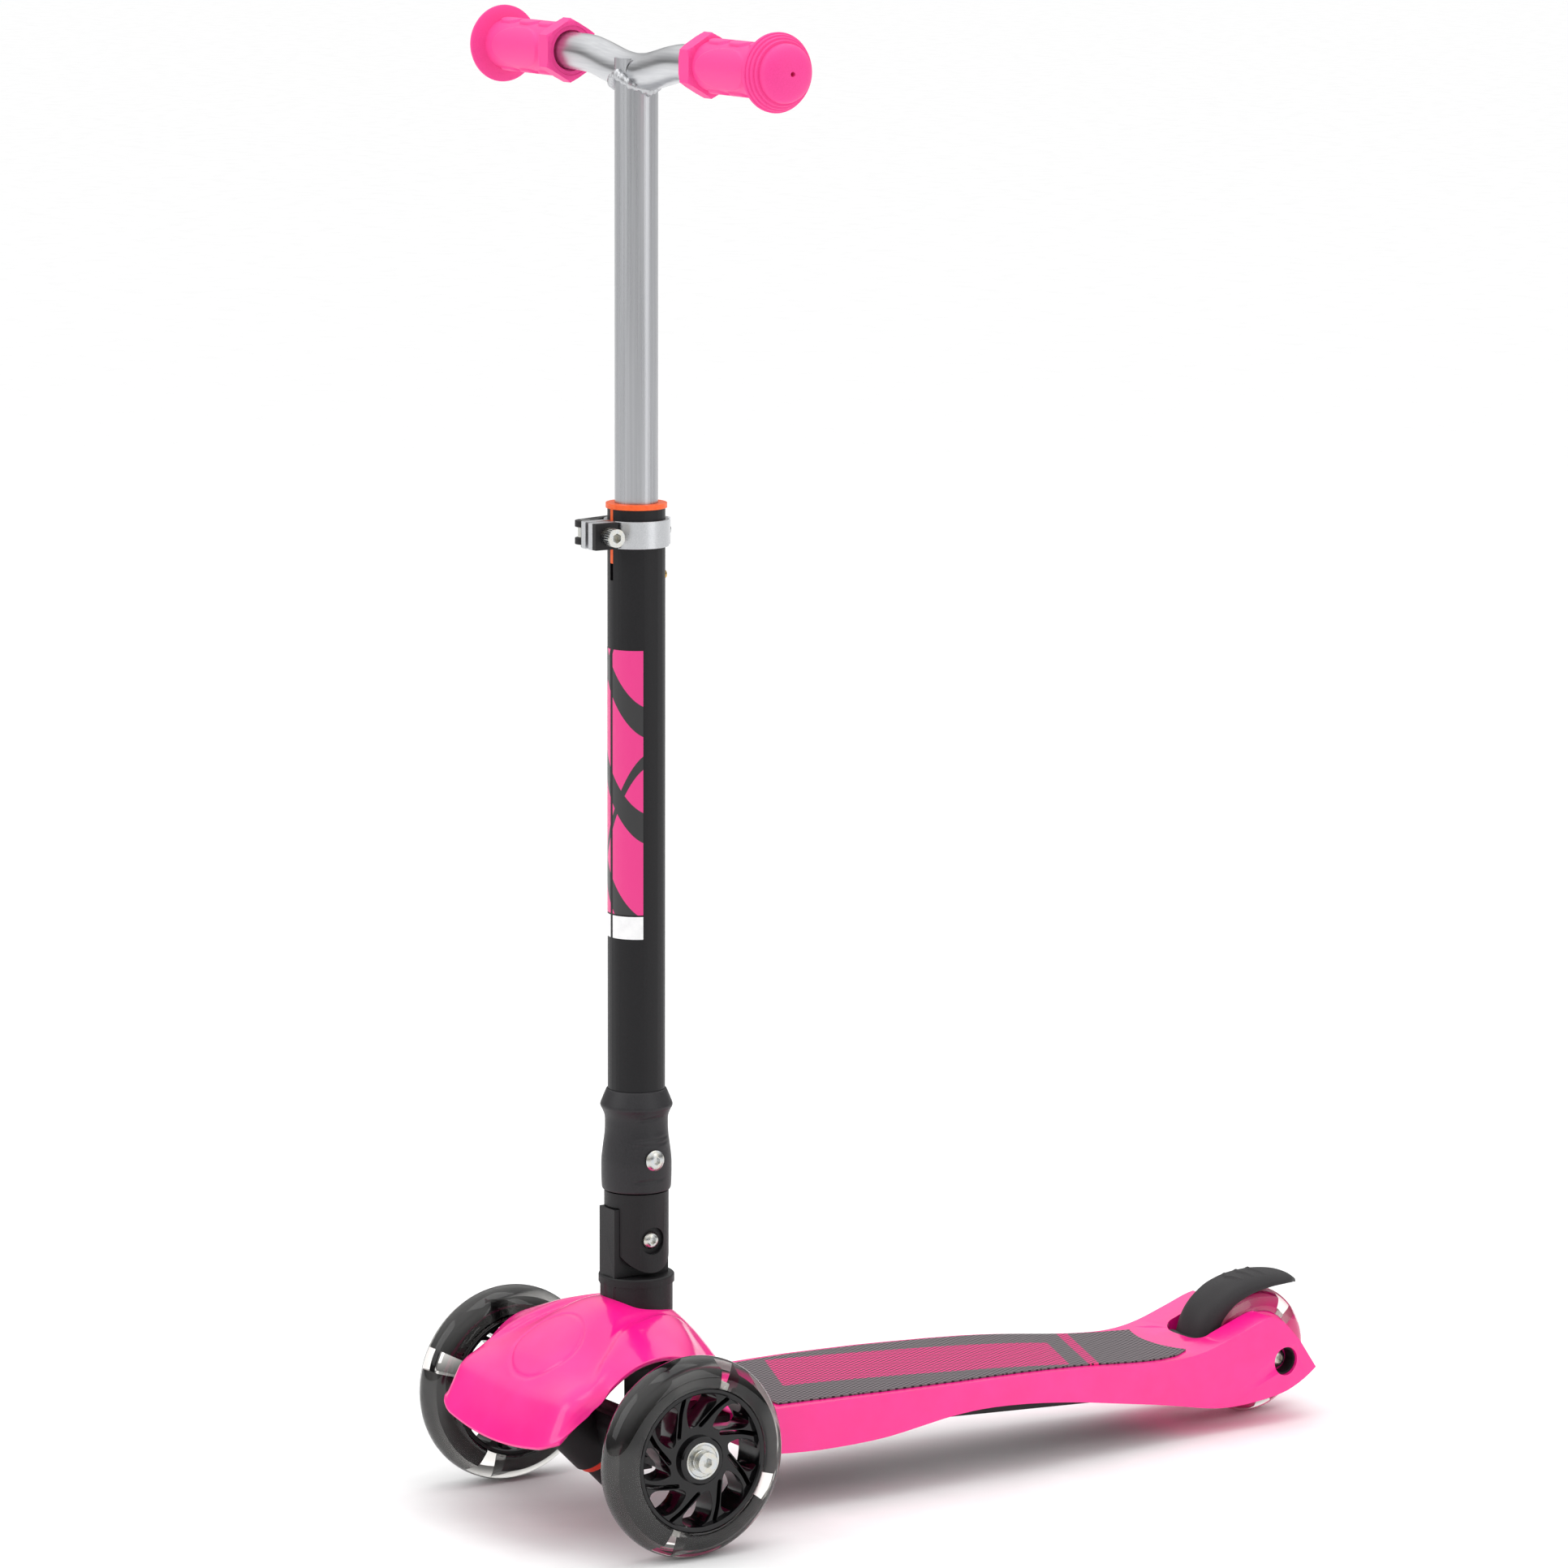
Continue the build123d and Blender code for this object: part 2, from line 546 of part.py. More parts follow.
def clamp_band():
    """Aluminium clamp with two lugs at the front."""
    low, high = CLAMP_Z - 8, CLAMP_Z + 8
    band = rod_z(19.2, low, high)
    for side in (1, -1):
        x0, x1 = sorted((side * 1.6, side * 6.2))
        band += block(x0, x1, STEM_Y - 34, STEM_Y - 14, low, high)
    band += block(-5, 5, STEM_Y + 14, STEM_Y + 20.5, low, high)
    band -= rod_z(STEM_R, low - 1, high + 1)
    band -= block(-1.6, 1.6, STEM_Y - 40, STEM_Y - 10, low - 1, high + 1)
    band -= rod_x(3.1, -12, 12, STEM_Y - 25.5, CLAMP_Z)
    return band - rod_y(2.0, STEM_Y + 17, STEM_Y + 24, 0, CLAMP_Z)


LEVER_X, LEVER_Y = -15.0, STEM_Y - 25.5


def clamp_bolt():
    """Socket-head cap screw with a knurled head."""
    shank = rod_x(3.1, LEVER_X + 4.5, 10.5, LEVER_Y, CLAMP_Z)
    head = rod_x(5.4, 10, 20, LEVER_Y, CLAMP_Z)
    for index in range(24):
        angle = math.radians(index * 15)
        groove = rod_x(0.45, 10, 18.8, LEVER_Y + 5.5 * math.cos(angle), CLAMP_Z + 5.5 * math.sin(angle))
        head -= groove
    return shank + head - Pos(20, LEVER_Y, CLAMP_Z) * Rot(0, 90, 0) * hex_socket(3.0, 4.5)


def clamp_washer():
    """Square plastic washer under the screw head, and a thin one under the cam."""
    near = block(6.2, 10, LEVER_Y - 8.5, LEVER_Y + 7.0, CLAMP_Z - 7.8, CLAMP_Z + 7.8)
    far = block(-8.2, -6.2, LEVER_Y - 7.5, LEVER_Y + 7.0, CLAMP_Z - 7.8, CLAMP_Z + 7.8)
    return near + far - rod_x(3.1, -12, 12, LEVER_Y, CLAMP_Z)


def clamp_rear_screw():
    head = Pos(0, STEM_Y + 20.5, CLAMP_Z) * Rot(-90, 0, 0) * button_head(3.6, 2.4, 1.6)
    return head + rod_y(2.0, STEM_Y + 17, STEM_Y + 21, 0, CLAMP_Z)


def clamp_lever():
    """Curved quick-release lever whose two prongs hold the cam barrel."""
    low, high = CLAMP_Z - 7.0, CLAMP_Z + 7.0
    centre = (0.0, STEM_Y)
    arm = rod_z(27.5, low, high) - rod_z(23.2, low - 1, high + 1)
    wedge = make_face(Polyline(centre, (-60, STEM_Y - 22), (-60, STEM_Y + 40), (-22, STEM_Y + 60), close=True))
    arm &= Pos(0, 0, low - 1) * extrude(wedge, 20)
    root = make_face(Polyline((LEVER_X - 6.2, LEVER_Y), (LEVER_X + 5.5, LEVER_Y + 1.5), (-20.4, STEM_Y - 10.5),
                              (-21.5, STEM_Y - 5), (-26.5, STEM_Y - 4), (-25.5, STEM_Y - 12), close=True))
    body = arm + Pos(0, 0, low) * extrude(root, high - low) + rod_z(6.4, low, high, LEVER_X, LEVER_Y)
    body -= rod_z(22.6, low - 1, high + 1)
    body -= block(LEVER_X - 10, LEVER_X + 8, LEVER_Y - 10, LEVER_Y + 8.5, CLAMP_Z - 3.2, CLAMP_Z + 3.2)
    return body - rod_z(3.0 + RUNNING, low - 1, high + 1, LEVER_X, LEVER_Y)


def lever_barrel():
    """Cross barrel that the clamp screw pulls on."""
    return rod_z(3.0, CLAMP_Z - 7.0, CLAMP_Z + 7.0, LEVER_X, LEVER_Y) + rod_z(
        4.6, CLAMP_Z - 2.9, CLAMP_Z + 2.9, LEVER_X, LEVER_Y) - rod_x(3.1, LEVER_X + 4.3, 0, LEVER_Y, CLAMP_Z)


def wrap_panel(start, sweep, low, high):
    """A film on the stem tube between two angles, measured from straight ahead."""
    film = rod_z(STEM_R + 0.15, low, high) - rod_z(STEM_R, low - 1, high + 1)
    edge = 40.0
    first, last = math.radians(start), math.radians(start + sweep)
    middle = (first + last) / 2
    corners = [(edge * math.sin(a), STEM_Y - edge * math.cos(a)) for a in (first, middle, last)]
    wedge = make_face(Polyline((0, STEM_Y), *corners, close=True))
    return film & Pos(0, 0, low) * extrude(wedge, high - low)


def stem_decals():
    """One printed film each side of the front seam."""
    film = wrap_panel(4, 68, 364.5, 521.5)
    return film + mirror_x(film)


def stem_labels():
    """The plain light strip under each film."""
    strip = wrap_panel(4, 68, 350, 363.5)
    return strip + mirror_x(strip)


def fold_bolt():
    """Pivot bolt through both cheeks and the tongue."""
    shank = rod_x(AXLE_R, -19, 16, STEM_Y, FOLD_Z)
    head = Pos(15.5, STEM_Y, FOLD_Z) * Rot(0, 90, 0) * button_head(5.2, 3.4, 2.2)
    return shank + head


def fold_nut():
    nut = extrude(RegularPolygon(6.2, 6), 3.4) - Cylinder(AXLE_R, 30)
    return Pos(-15.5, STEM_Y, FOLD_Z) * Rot(0, -90, 0) * nut


# ---------------------------------------------------------------- release sleeve
SLEEVE = [(197.5, 19.7), (199, 20.5), (214, 20.6), (224, 19.9), (237, 18.5), (243, 19.0), (246.5, 21.2),
          (248, 21.8), (258, 17.7)]
SLEEVE_BORE = STEM_R + 0.25


def release_sleeve():
    """Sleeve that is pulled up to free the fold."""
    outline = [(z, r) for z, r in SLEEVE]
    body = turned([(197.5, SLEEVE_BORE), *outline, (258, SLEEVE_BORE)], Axis.Z)
    body = Pos(0, STEM_Y, 0) * body
    return body - rod_x(3.0, -30, 30, STEM_Y, BOLT_Z)


def sleeve_bolt():
    """Cross bolt that ties the sleeve to the lock plunger."""
    shank = rod_x(3.0, -20, 20.2, STEM_Y, BOLT_Z)
    head = Pos(20.2, STEM_Y, BOLT_Z) * Rot(0, 90, 0) * button_head(6.2, 3.0, 2.4)
    nut = Pos(-20.7, STEM_Y, BOLT_Z) * Rot(0, -90, 0) * button_head(6.2, 3.0, 2.4)
    spacers = rod_x(3.0, -21, -20, STEM_Y, BOLT_Z)
    return shank + head - (rod_z(20.6, 200, 235) - rod_x(3.0, -30, 30, STEM_Y, BOLT_Z)) + nut + spacers


def lock_plunger():
    """Plunger that the sleeve lifts."""
    rod = rod_z(4.0, FOLD_Z + 19.5, BOLT_Z + 7)
    return rod - rod_x(3.0, -30, 30, STEM_Y, BOLT_Z)


def lock_spring():
    """Spring that pushes the plunger down."""
    return Pos(0, STEM_Y, BOLT_Z + 9.2) * coil(5.0, 28, 5.2)


# ---------------------------------------------------------------- T-bar
BAR_BOTTOM = 520.0
BEND_X = 46.0


def handle_path():
    """Centre line of the handlebar, a shallow V with rounded bends."""
    end = HALF_BAR - 12
    corners = [(-end, STEM_Y, HANDLE_Z), (-BEND_X, STEM_Y, HANDLE_Z), (0, STEM_Y, HANDLE_Z - HANDLE_DIP),
               (BEND_X, STEM_Y, HANDLE_Z), (end, STEM_Y, HANDLE_Z)]
    return FilletPolyline(*corners, radius=90)


def handle_rod(radius):
    path = handle_path()
    start = Plane(origin=path @ 0, z_dir=path % 0)
    return sweep(start * Circle(radius), path)


def handlebar():
    return handle_rod(HANDLE_R) - handle_rod(HANDLE_R - 1.6)


def bar_tube():
    """Upright tube, coped to fit the handlebar and holed for the height button."""
    tube = rod_z(BAR_R, BAR_BOTTOM, HANDLE_Z) - rod_z(BAR_BORE, BAR_BOTTOM - 1, HANDLE_Z + 1)
    tube -= handle_rod(HANDLE_R)
    tube = tube.solids().sort_by(SortBy.VOLUME)[-1]
    return tube - rod_y(3.5, STEM_Y + 8, STEM_Y + 20, 0, BUTTON_Z)


def weld_bead():
    """Weld around the joint of upright and handlebar."""
    ring = Pos(0, STEM_Y, HANDLE_Z - HANDLE_DIP - 8.5) * Torus(BAR_R + 0.3, 2.4)
    return (ring - handle_rod(HANDLE_R) - rod_z(BAR_R, 800, HANDLE_Z)).solids().sort_by(SortBy.VOLUME)[-1]


def bar_end_bushing():
    """Plastic guide on the lower end of the upright."""
    guide = rod_z(STEM_BORE - RUNNING, BAR_BOTTOM, BAR_BOTTOM + 14)
    return guide - rod_z(BAR_R, BAR_BOTTOM - 1, BAR_BOTTOM + 20)


GRIP_IN = 72.0
GRIP_FLANGE = 149.0
GRIP_FLANGE_R = 22.8


def grip_left():
    """Rubber grip with a hexagonal inner collar and a ringed dome end."""
    tip = HALF_BAR
    profile = [(GRIP_IN, 0), (GRIP_IN, 13.5), (GRIP_IN + 8, 15.2), (GRIP_FLANGE - 5, 15.2), (GRIP_FLANGE - 2, 21),
               (GRIP_FLANGE, GRIP_FLANGE_R), (GRIP_FLANGE + 2.5, 22.6),
               (GRIP_FLANGE + 5, 21), (GRIP_FLANGE + 9, 18.5), (GRIP_FLANGE + 13, 14.5), (tip - 2, 9), (tip, 4.5),
               (tip, 0)]
    body = turned(profile)
    hexagon = extrude(Plane.YZ.offset(GRIP_IN) * Rot(0, 0, 30) * RegularPolygon(19.5, 6), 11)
    hexagon = chamfer(hexagon.edges().group_by(Axis.X)[-1], 2.5)
    body += hexagon
    body -= rod_x(HANDLE_R, 0, HALF_BAR - 12, 0, 0)
    body -= rod_x(13, GRIP_IN - 1, GRIP_IN + 3, 0, 0)
    body -= rod_x(1.3, HALF_BAR - 13, HALF_BAR + 2, 0, 0)
    return Pos(0, STEM_Y, HANDLE_Z) * body


def height_button():
    """Brass button that drops into the stem tube's hole."""
    tip = turned([(8.6, 0), (8.6, 4.6), (9.5, 4.6), (9.5, 3.2), (18.4, 3.2), (19.6, 2.5), (20.4, 1.2), (20.4, 0)])
    return Pos(0, STEM_Y, BUTTON_Z) * Rot(0, 0, 90) * tip


def button_spring():
    """U-shaped leaf spring behind the button."""
    back = block(-3, 3, STEM_Y + 7.7, STEM_Y + 8.5, 533, BUTTON_Z + 3)
    foot = block(-3, 3, STEM_Y - 10, STEM_Y + 8.5, 532.2, 533)
    front = block(-3, 3, STEM_Y - 10.4, STEM_Y - 9.6, 532.2, BUTTON_Z - 6)
    return back + foot + front


# ---------------------------------------------------------------- write every node
def main():
    left = Pos(TRACK / 2, 0, FRONT_R)
    wheel("left", left, True)
    wheel("right", Pos(-TRACK / 2, 0, FRONT_R) * Rot(0, 0, 180), True)
    wheel("rear", Pos(0, WHEELBASE, REAR_R), False)

    axle = front_axle_bolt()
    save("front_axle_bolts", axle + mirror_x(axle))
    for builder in (
        truck_hanger, truck_mount, steering_bumpers, kingpin, kingpin_nut, front_axle_washers, front_hood,
        neck_knuckle, deck, grip_mat, belly_plate, deck_screws, brake_fender, brake_spring, rear_axle_bolt,
        rear_axle_nut, rear_axle_spacers, rear_axle_cups, upper_knuckle, stem_tube, reducer_bushing, clamp_band,
        clamp_bolt, clamp_washer, clamp_rear_screw, clamp_lever, lever_barrel, stem_decals, stem_labels,
        fold_bolt, fold_nut, release_sleeve, sleeve_bolt, lock_plunger, lock_spring, handlebar, bar_tube,
        weld_bead, bar_end_bushing, grip_left, height_button, button_spring,
    ):
        save(builder.__name__, builder())
    save("grip_right", mirror_x(grip_left()))
    save("brake_pin", rod_x(BRAKE_PIN_R, -29, 29, BRAKE_Y, BRAKE_Z))


main()
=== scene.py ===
# %% Load the frame
import json
import math

import bmesh
import bpy
from mathutils import Matrix, Vector, geometry

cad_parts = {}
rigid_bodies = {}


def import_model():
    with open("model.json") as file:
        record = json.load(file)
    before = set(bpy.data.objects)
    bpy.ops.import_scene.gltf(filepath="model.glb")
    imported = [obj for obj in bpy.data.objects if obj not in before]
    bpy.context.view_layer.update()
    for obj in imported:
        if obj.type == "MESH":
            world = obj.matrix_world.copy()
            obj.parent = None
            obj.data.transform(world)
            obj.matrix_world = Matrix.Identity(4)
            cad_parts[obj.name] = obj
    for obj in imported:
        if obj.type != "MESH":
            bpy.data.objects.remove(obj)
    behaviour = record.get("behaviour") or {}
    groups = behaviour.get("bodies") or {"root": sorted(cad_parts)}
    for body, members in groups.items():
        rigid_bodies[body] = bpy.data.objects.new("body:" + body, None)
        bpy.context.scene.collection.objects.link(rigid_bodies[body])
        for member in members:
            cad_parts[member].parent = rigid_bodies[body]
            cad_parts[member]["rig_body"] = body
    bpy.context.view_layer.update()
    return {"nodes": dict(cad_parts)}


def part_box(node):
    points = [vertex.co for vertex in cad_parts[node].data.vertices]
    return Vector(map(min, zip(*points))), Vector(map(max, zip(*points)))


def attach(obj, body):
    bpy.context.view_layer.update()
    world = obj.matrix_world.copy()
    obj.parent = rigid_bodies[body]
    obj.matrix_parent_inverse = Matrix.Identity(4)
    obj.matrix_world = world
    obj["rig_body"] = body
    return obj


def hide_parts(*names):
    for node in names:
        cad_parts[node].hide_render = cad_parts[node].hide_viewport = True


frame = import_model()

# %% [markdown]
# # A three-wheeled kick scooter
# The scooter is a child's one: pink moulded shells, black nylon and painted parts, a bright aluminium
# T-bar and clear wheels.  The engineering model brings every part in its place.  This lesson gives the
# moulded parts their real form, and every part its finish.
#
# Lengths are thought of in millimetres here, measured from the front axle, because that is how a maker
# would lay the scooter out.  One function turns such a place into the scene's metres.

# %% Where things are
def middle(node):
    low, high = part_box(node)
    return (Vector(low) + Vector(high)) / 2


AXLE = middle("left_tyre")
REAR = middle("rear_tyre")
COLUMN = middle("stem_tube")
GRIP = middle("grip_left")


def place(x, y, z):
    """A point from millimetres: x from the middle, y behind the front axle, z above the floor."""
    return Vector((x / 1000, AXLE.y + y / 1000, z / 1000))


def mm(length):
    return length / 1000


print("front axle", AXLE[:], "rear axle", REAR[:], "column", COLUMN[:])

# %% [markdown]
# ## Small tools
# A piece is made as a bmesh near the origin, cleaned, and handed over by `keep`.  It merges doubles, turns
# all faces outwards and lets the piece ride on its body.  `copied` does the same with a part of the
# engineering model.  That part is made of loose triangles, so a copy is merged, its flat faces are
# joined up, and a small bevel rounds its edges.  Real edges are never sharp, and a thin bright line along
# them tells the eye so.

# %% Keep a finished piece
def keep(bm, name, body, finish, *nodes, angle=35.0):
    bmesh.ops.remove_doubles(bm, verts=bm.verts, dist=mm(0.01))
    bmesh.ops.recalc_face_normals(bm, faces=bm.faces)
    mesh = bpy.data.meshes.new(name)
    bm.to_mesh(mesh)
    bm.free()
    mesh.materials.append(finish)
    mesh.shade_smooth()
    mesh.set_sharp_from_angle(angle=math.radians(angle))
    piece = bpy.data.objects.new(name, mesh)
    bpy.context.scene.collection.objects.link(piece)
    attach(piece, body)
    if nodes:
        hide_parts(*nodes)
    print(name, "rides on", body, "with", len(mesh.polygons), "faces")
    return piece


# %% Add a modifier
def modify(piece, kind, **settings):
    made = piece.modifiers.new(kind.title(), kind)
    for key, value in settings.items():
        setattr(made, key, value)
    return made


# %% Copy a part of the engineering model
def copied(node, finish, bevel=0.35, segments=2, angle=32.0):
    bm = bmesh.new()
    bm.from_mesh(frame["nodes"][node].data)
    bmesh.ops.remove_doubles(bm, verts=bm.verts, dist=mm(0.002))
    bmesh.ops.dissolve_limit(bm, angle_limit=math.radians(0.5), verts=bm.verts, edges=bm.edges)
    piece = keep(bm, node + "_part", frame["nodes"][node]["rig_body"], finish, node)
    if bevel:
        modify(piece, "BEVEL", width=mm(bevel), segments=segments, limit_method="ANGLE",
               angle_limit=math.radians(angle), harden_normals=True)
    return piece


# %% Turn a profile about an axis
def turned(profile, axis="Z", steps=72, centre=(0, 0, 0), sweep=360.0, start=0.0):
    """Spins (along, radius) points, in millimetres, about an axis through the centre."""
    bm = bmesh.new()
    verts = [bm.verts.new((mm(radius), 0, mm(along))) for along, radius in profile]
    for first, second in zip(verts, verts[1:]):
        bm.edges.new((first, second))
    whole = sweep > 359
    if not whole:
        bm.faces.new(verts)
    bmesh.ops.spin(bm, geom=bm.verts[:] + bm.edges[:] + bm.faces[:], axis=(0, 0, 1), cent=(0, 0, 0),
                   angle=math.radians(sweep), steps=steps, use_merge=whole)
    bmesh.ops.rotate(bm, verts=bm.verts, cent=(0, 0, 0), matrix=Matrix.Rotation(math.radians(start), 3, "Z"))
    if axis == "X":
        bmesh.ops.rotate(bm, verts=bm.verts, cent=(0, 0, 0), matrix=Matrix.Rotation(math.pi / 2, 3, "Y"))
    if axis == "Y":
        bmesh.ops.rotate(bm, verts=bm.verts, cent=(0, 0, 0), matrix=Matrix.Rotation(-math.pi / 2, 3, "X"))
    bmesh.ops.translate(bm, verts=bm.verts, vec=Vector(centre))
    return bm


# %% Join several bmeshes
def joined(*parts):
    whole = bmesh.new()
    for part in parts:
        mesh = bpy.data.meshes.new("joining")
        part.to_mesh(mesh)
        part.free()
        whole.from_mesh(mesh)
        bpy.data.meshes.remove(mesh)
    return whole


# %% Read a curve through a few known points
def along(stations, t):
    """Smoothly blended values at t, from (t, value, value, ...) stations."""
    last = len(stations) - 1
    index = max(i for i in range(last) if stations[i][0] <= t or i == 0)
    start, end = stations[index], stations[index + 1]
    width = end[0] - start[0]
    s = (t - start[0]) / width
    slopes = []
    for i in (index, index + 1):
        before, after = stations[max(i - 1, 0)], stations[min(i + 1, last)]
        slopes.append([(b - a) / (after[0] - before[0]) * width for a, b in zip(before[1:], after[1:])])
    return [(2 * s ** 3 - 3 * s * s + 1) * a + (s ** 3 - 2 * s * s + s) * into
            + (3 * s * s - 2 * s ** 3) * b + (s ** 3 - s * s) * out
            for a, b, into, out in zip(start[1:], end[1:], *slopes)]


# %% [markdown]
# ## Finishes
# Every finish is a Principled shader with what its making leaves on the surface: the fine grain of a
# spark-eroded mould, the drawing lines of a tube, the orange peel of powder coat.  Colours are written as
# sRGB hex and turned to linear light once.

# %% Colour and node helpers
def colour(text):
    channels = [int(text[i:i + 2], 16) / 255 for i in (1, 3, 5)]
    return [c / 12.92 if c <= 0.04045 else ((c + 0.055) / 1.055) ** 2.4 for c in channels] + [1.0]


def add(tree, kind, inputs=None, **settings):
    """Adds one node with its settings, its values and its links."""
    made = tree.nodes.new("ShaderNode" + kind)
    for key, value in settings.items():
        setattr(made, key, value)
    for key, value in (inputs or {}).items():
        if isinstance(value, bpy.types.NodeSocket):
            tree.links.new(value, made.inputs[key])
        else:
            made.inputs[key].default_value = value
    return made


def finish(name, **values):
    """A material with only its Principled shader set; returns it, its tree and its shader."""
    made = bpy.data.materials.new(name)
    made.use_nodes = True
    shader = made.node_tree.nodes["Principled BSDF"]
    for key, value in values.items():
        shader.inputs[key.replace("_", " ")].default_value = value
    return made, made.node_tree, shader


def grain(tree, shader, size, depth, low, high, stretch=(1, 1, 1), detail=3.0):
    """Unevenness of a real size in millimetres: it moves the roughness and the surface itself."""
    coords = add(tree, "TexCoord")
    mapped = add(tree, "Mapping", {"Vector": coords.outputs["Object"], "Scale": stretch})
    noise = add(tree, "TexNoise", {"Vector": mapped.outputs["Vector"], "Scale": 1000 / size, "Detail": detail,
                                   "Roughness": 0.55})
    rough = add(tree, "MapRange", {"Value": noise.outputs["Fac"], "From Min": 0.3, "From Max": 0.7,
                                   "To Min": low, "To Max": high})
    bump = add(tree, "Bump", {"Height": noise.outputs["Fac"], "Strength": 1.0, "Distance": mm(depth)})
    tree.links.new(rough.outputs["Result"], shader.inputs["Roughness"])
    tree.links.new(bump.outputs["Normal"], shader.inputs["Normal"])
    return coords, noise, bump


def tinted(tree, shader, fac, first, second, low=0.3, high=0.7):
    """The base colour drifts between two close colours."""
    blend = add(tree, "MapRange", {"Value": fac, "From Min": low, "From Max": high})
    mixed = add(tree, "Mix", {"Factor": blend.outputs["Result"], "A": first, "B": second}, data_type="RGBA")
    tree.links.new(mixed.outputs["Result"], shader.inputs["Base Color"])
    return mixed


# %% Injection-moulded ABS, glossy pink
# A polished mould gives a smooth, glossy skin.  Slow waves from shrinkage, a few centimetres long, bend
# the reflections a little.
PINK = "#FF1490"
abs_pink, tree, shader = finish("abs_moulded_gloss_pink", IOR=1.53, Coat_Weight=0.25, Coat_Roughness=0.08)
coords, noise, bump = grain(tree, shader, 28, 0.12, 0.16, 0.24)
tinted(tree, shader, noise.outputs["Fac"], colour("#FF108C"), colour("#FF1C94"))
print("made", abs_pink.name)

# %% Glass-filled nylon, spark-eroded mould, black
# The mould's texture is some 0.4 mm across, drawn 0.9 mm here so that it shows.
nylon_black, tree, shader = finish("nylon_moulded_textured_black", IOR=1.53, Specular_IOR_Level=0.3)
coords, noise, bump = grain(tree, shader, 0.9, 0.05, 0.42, 0.58)
tinted(tree, shader, noise.outputs["Fac"], colour("#121113"), colour("#1B1A1C"))

# The sleeve's mould is a little coarser and paler, and the fender is the palest of the black parts.
sleeve_black, tree, shader = finish("nylon_moulded_textured_sleeve", IOR=1.53, Specular_IOR_Level=0.35)
coords, noise, bump = grain(tree, shader, 1.1, 0.05, 0.40, 0.55)
tinted(tree, shader, noise.outputs["Fac"], colour("#1C1B1E"), colour("#262528"))

fender_black, tree, shader = finish("nylon_moulded_textured_fender", IOR=1.53, Specular_IOR_Level=0.35)
coords, noise, bump = grain(tree, shader, 1.0, 0.05, 0.44, 0.60)
tinted(tree, shader, noise.outputs["Fac"], colour("#201E20"), colour("#2A282A"))

# %% Nylon, polished mould, black
# The wheel cores come from a smoother mould, so they shine more.
nylon_gloss, tree, shader = finish("nylon_moulded_smooth_black", IOR=1.53, Specular_IOR_Level=0.35)
coords, noise, bump = grain(tree, shader, 9, 0.004, 0.10, 0.16, detail=1.0)
tinted(tree, shader, noise.outputs["Fac"], colour("#080709"), colour("#0F0E10"))

# %% Powder-coated steel, satin black
# Powder melts into a film with a fine orange peel, some 1.2 mm from wave to wave.
coat_black, tree, shader = finish("steel_powder_coated_satin_black", IOR=1.5, Specular_IOR_Level=0.3)
coords, noise, bump = grain(tree, shader, 1.2, 0.03, 0.40, 0.50)
tinted(tree, shader, noise.outputs["Fac"], colour("#0D0C0F"), colour("#141316"))

# %% Anodised aluminium, drawn tube
# Drawing leaves lines along the tube, some 0.8 mm apart and very long.  The anodic film makes them satin.
alu_drawn, tree, shader = finish("aluminium_drawn_anodised", Metallic=1.0)
coords, noise, bump = grain(tree, shader, 1.5, 0.0006, 0.26, 0.31, stretch=(1, 1, 0.01), detail=1.0)
tinted(tree, shader, noise.outputs["Fac"], colour("#A9AAAD"), colour("#B6B7BA"))

# %% Anodised aluminium, bent tube, lines across
# The same tube, laid along X for the handlebar.
alu_bent, tree, shader = finish("aluminium_bent_anodised", Metallic=1.0)
coords, noise, bump = grain(tree, shader, 1.5, 0.0006, 0.28, 0.34, stretch=(0.01, 1, 1), detail=1.0)
tinted(tree, shader, noise.outputs["Fac"], colour("#C2C3C6"), colour("#CECFD1"))

# %% Aluminium, tumbled casting
# The clamp is tumbled bright: no lines, but small dents some 0.6 mm across.
alu_cast, tree, shader = finish("aluminium_cast_tumbled", Metallic=1.0)
coords, noise, bump = grain(tree, shader, 0.6, 0.012, 0.26, 0.40)
tinted(tree, shader, noise.outputs["Fac"], colour("#BFC1C4"), colour("#D3D4D6"))

# %% Aluminium weld
# A weld freezes in small ripples, rougher and greyer than the tube.
alu_weld, tree, shader = finish("aluminium_weld_as_laid", Metallic=1.0)
coords, noise, bump = grain(tree, shader, 1.8, 0.12, 0.28, 0.48)
tinted(tree, shader, noise.outputs["Fac"], colour("#A9AAAD"), colour("#C9CACC"))

# %% Zinc-plated steel
# The plating's passive film drifts from blue to a faint yellow over a few millimetres.
zinc, tree, shader = finish("steel_zinc_plated", Metallic=1.0)
coords, noise, bump = grain(tree, shader, 4, 0.01, 0.18, 0.34)
tinted(tree, shader, noise.outputs["Fac"], colour("#BEC3C8"), colour("#CFCBBE"))

# %% Turned brass
brass, tree, shader = finish("brass_turned", Metallic=1.0)
coords, noise, bump = grain(tree, shader, 0.5, 0.008, 0.22, 0.34)
tinted(tree, shader, noise.outputs["Fac"], colour("#C79A3E"), colour("#D8AE5A"))

# %% Thermoplastic rubber, matte pink
# Grips come from a blasted mould: matte, with a fine tooth some 0.7 mm across.
rubber_pink, tree, shader = finish("tpr_moulded_matte_pink", IOR=1.5, Sheen_Weight=0.08)
coords, noise, bump = grain(tree, shader, 0.7, 0.035, 0.52, 0.66)
tinted(tree, shader, noise.outputs["Fac"], colour("#F0318C"), colour("#F63D96"))

# %% Cast polyurethane, clear
# Poured, not moulded hot: clear as glass, a little yellow in the thick, and with soft waves.
clear_pu, tree, shader = finish("polyurethane_cast_clear", IOR=1.42, Transmission_Weight=1.0,
                                Base_Color=colour("#F7F5F1"))
coords, noise, bump = grain(tree, shader, 20, 0.004, 0.015, 0.025, detail=1.0)

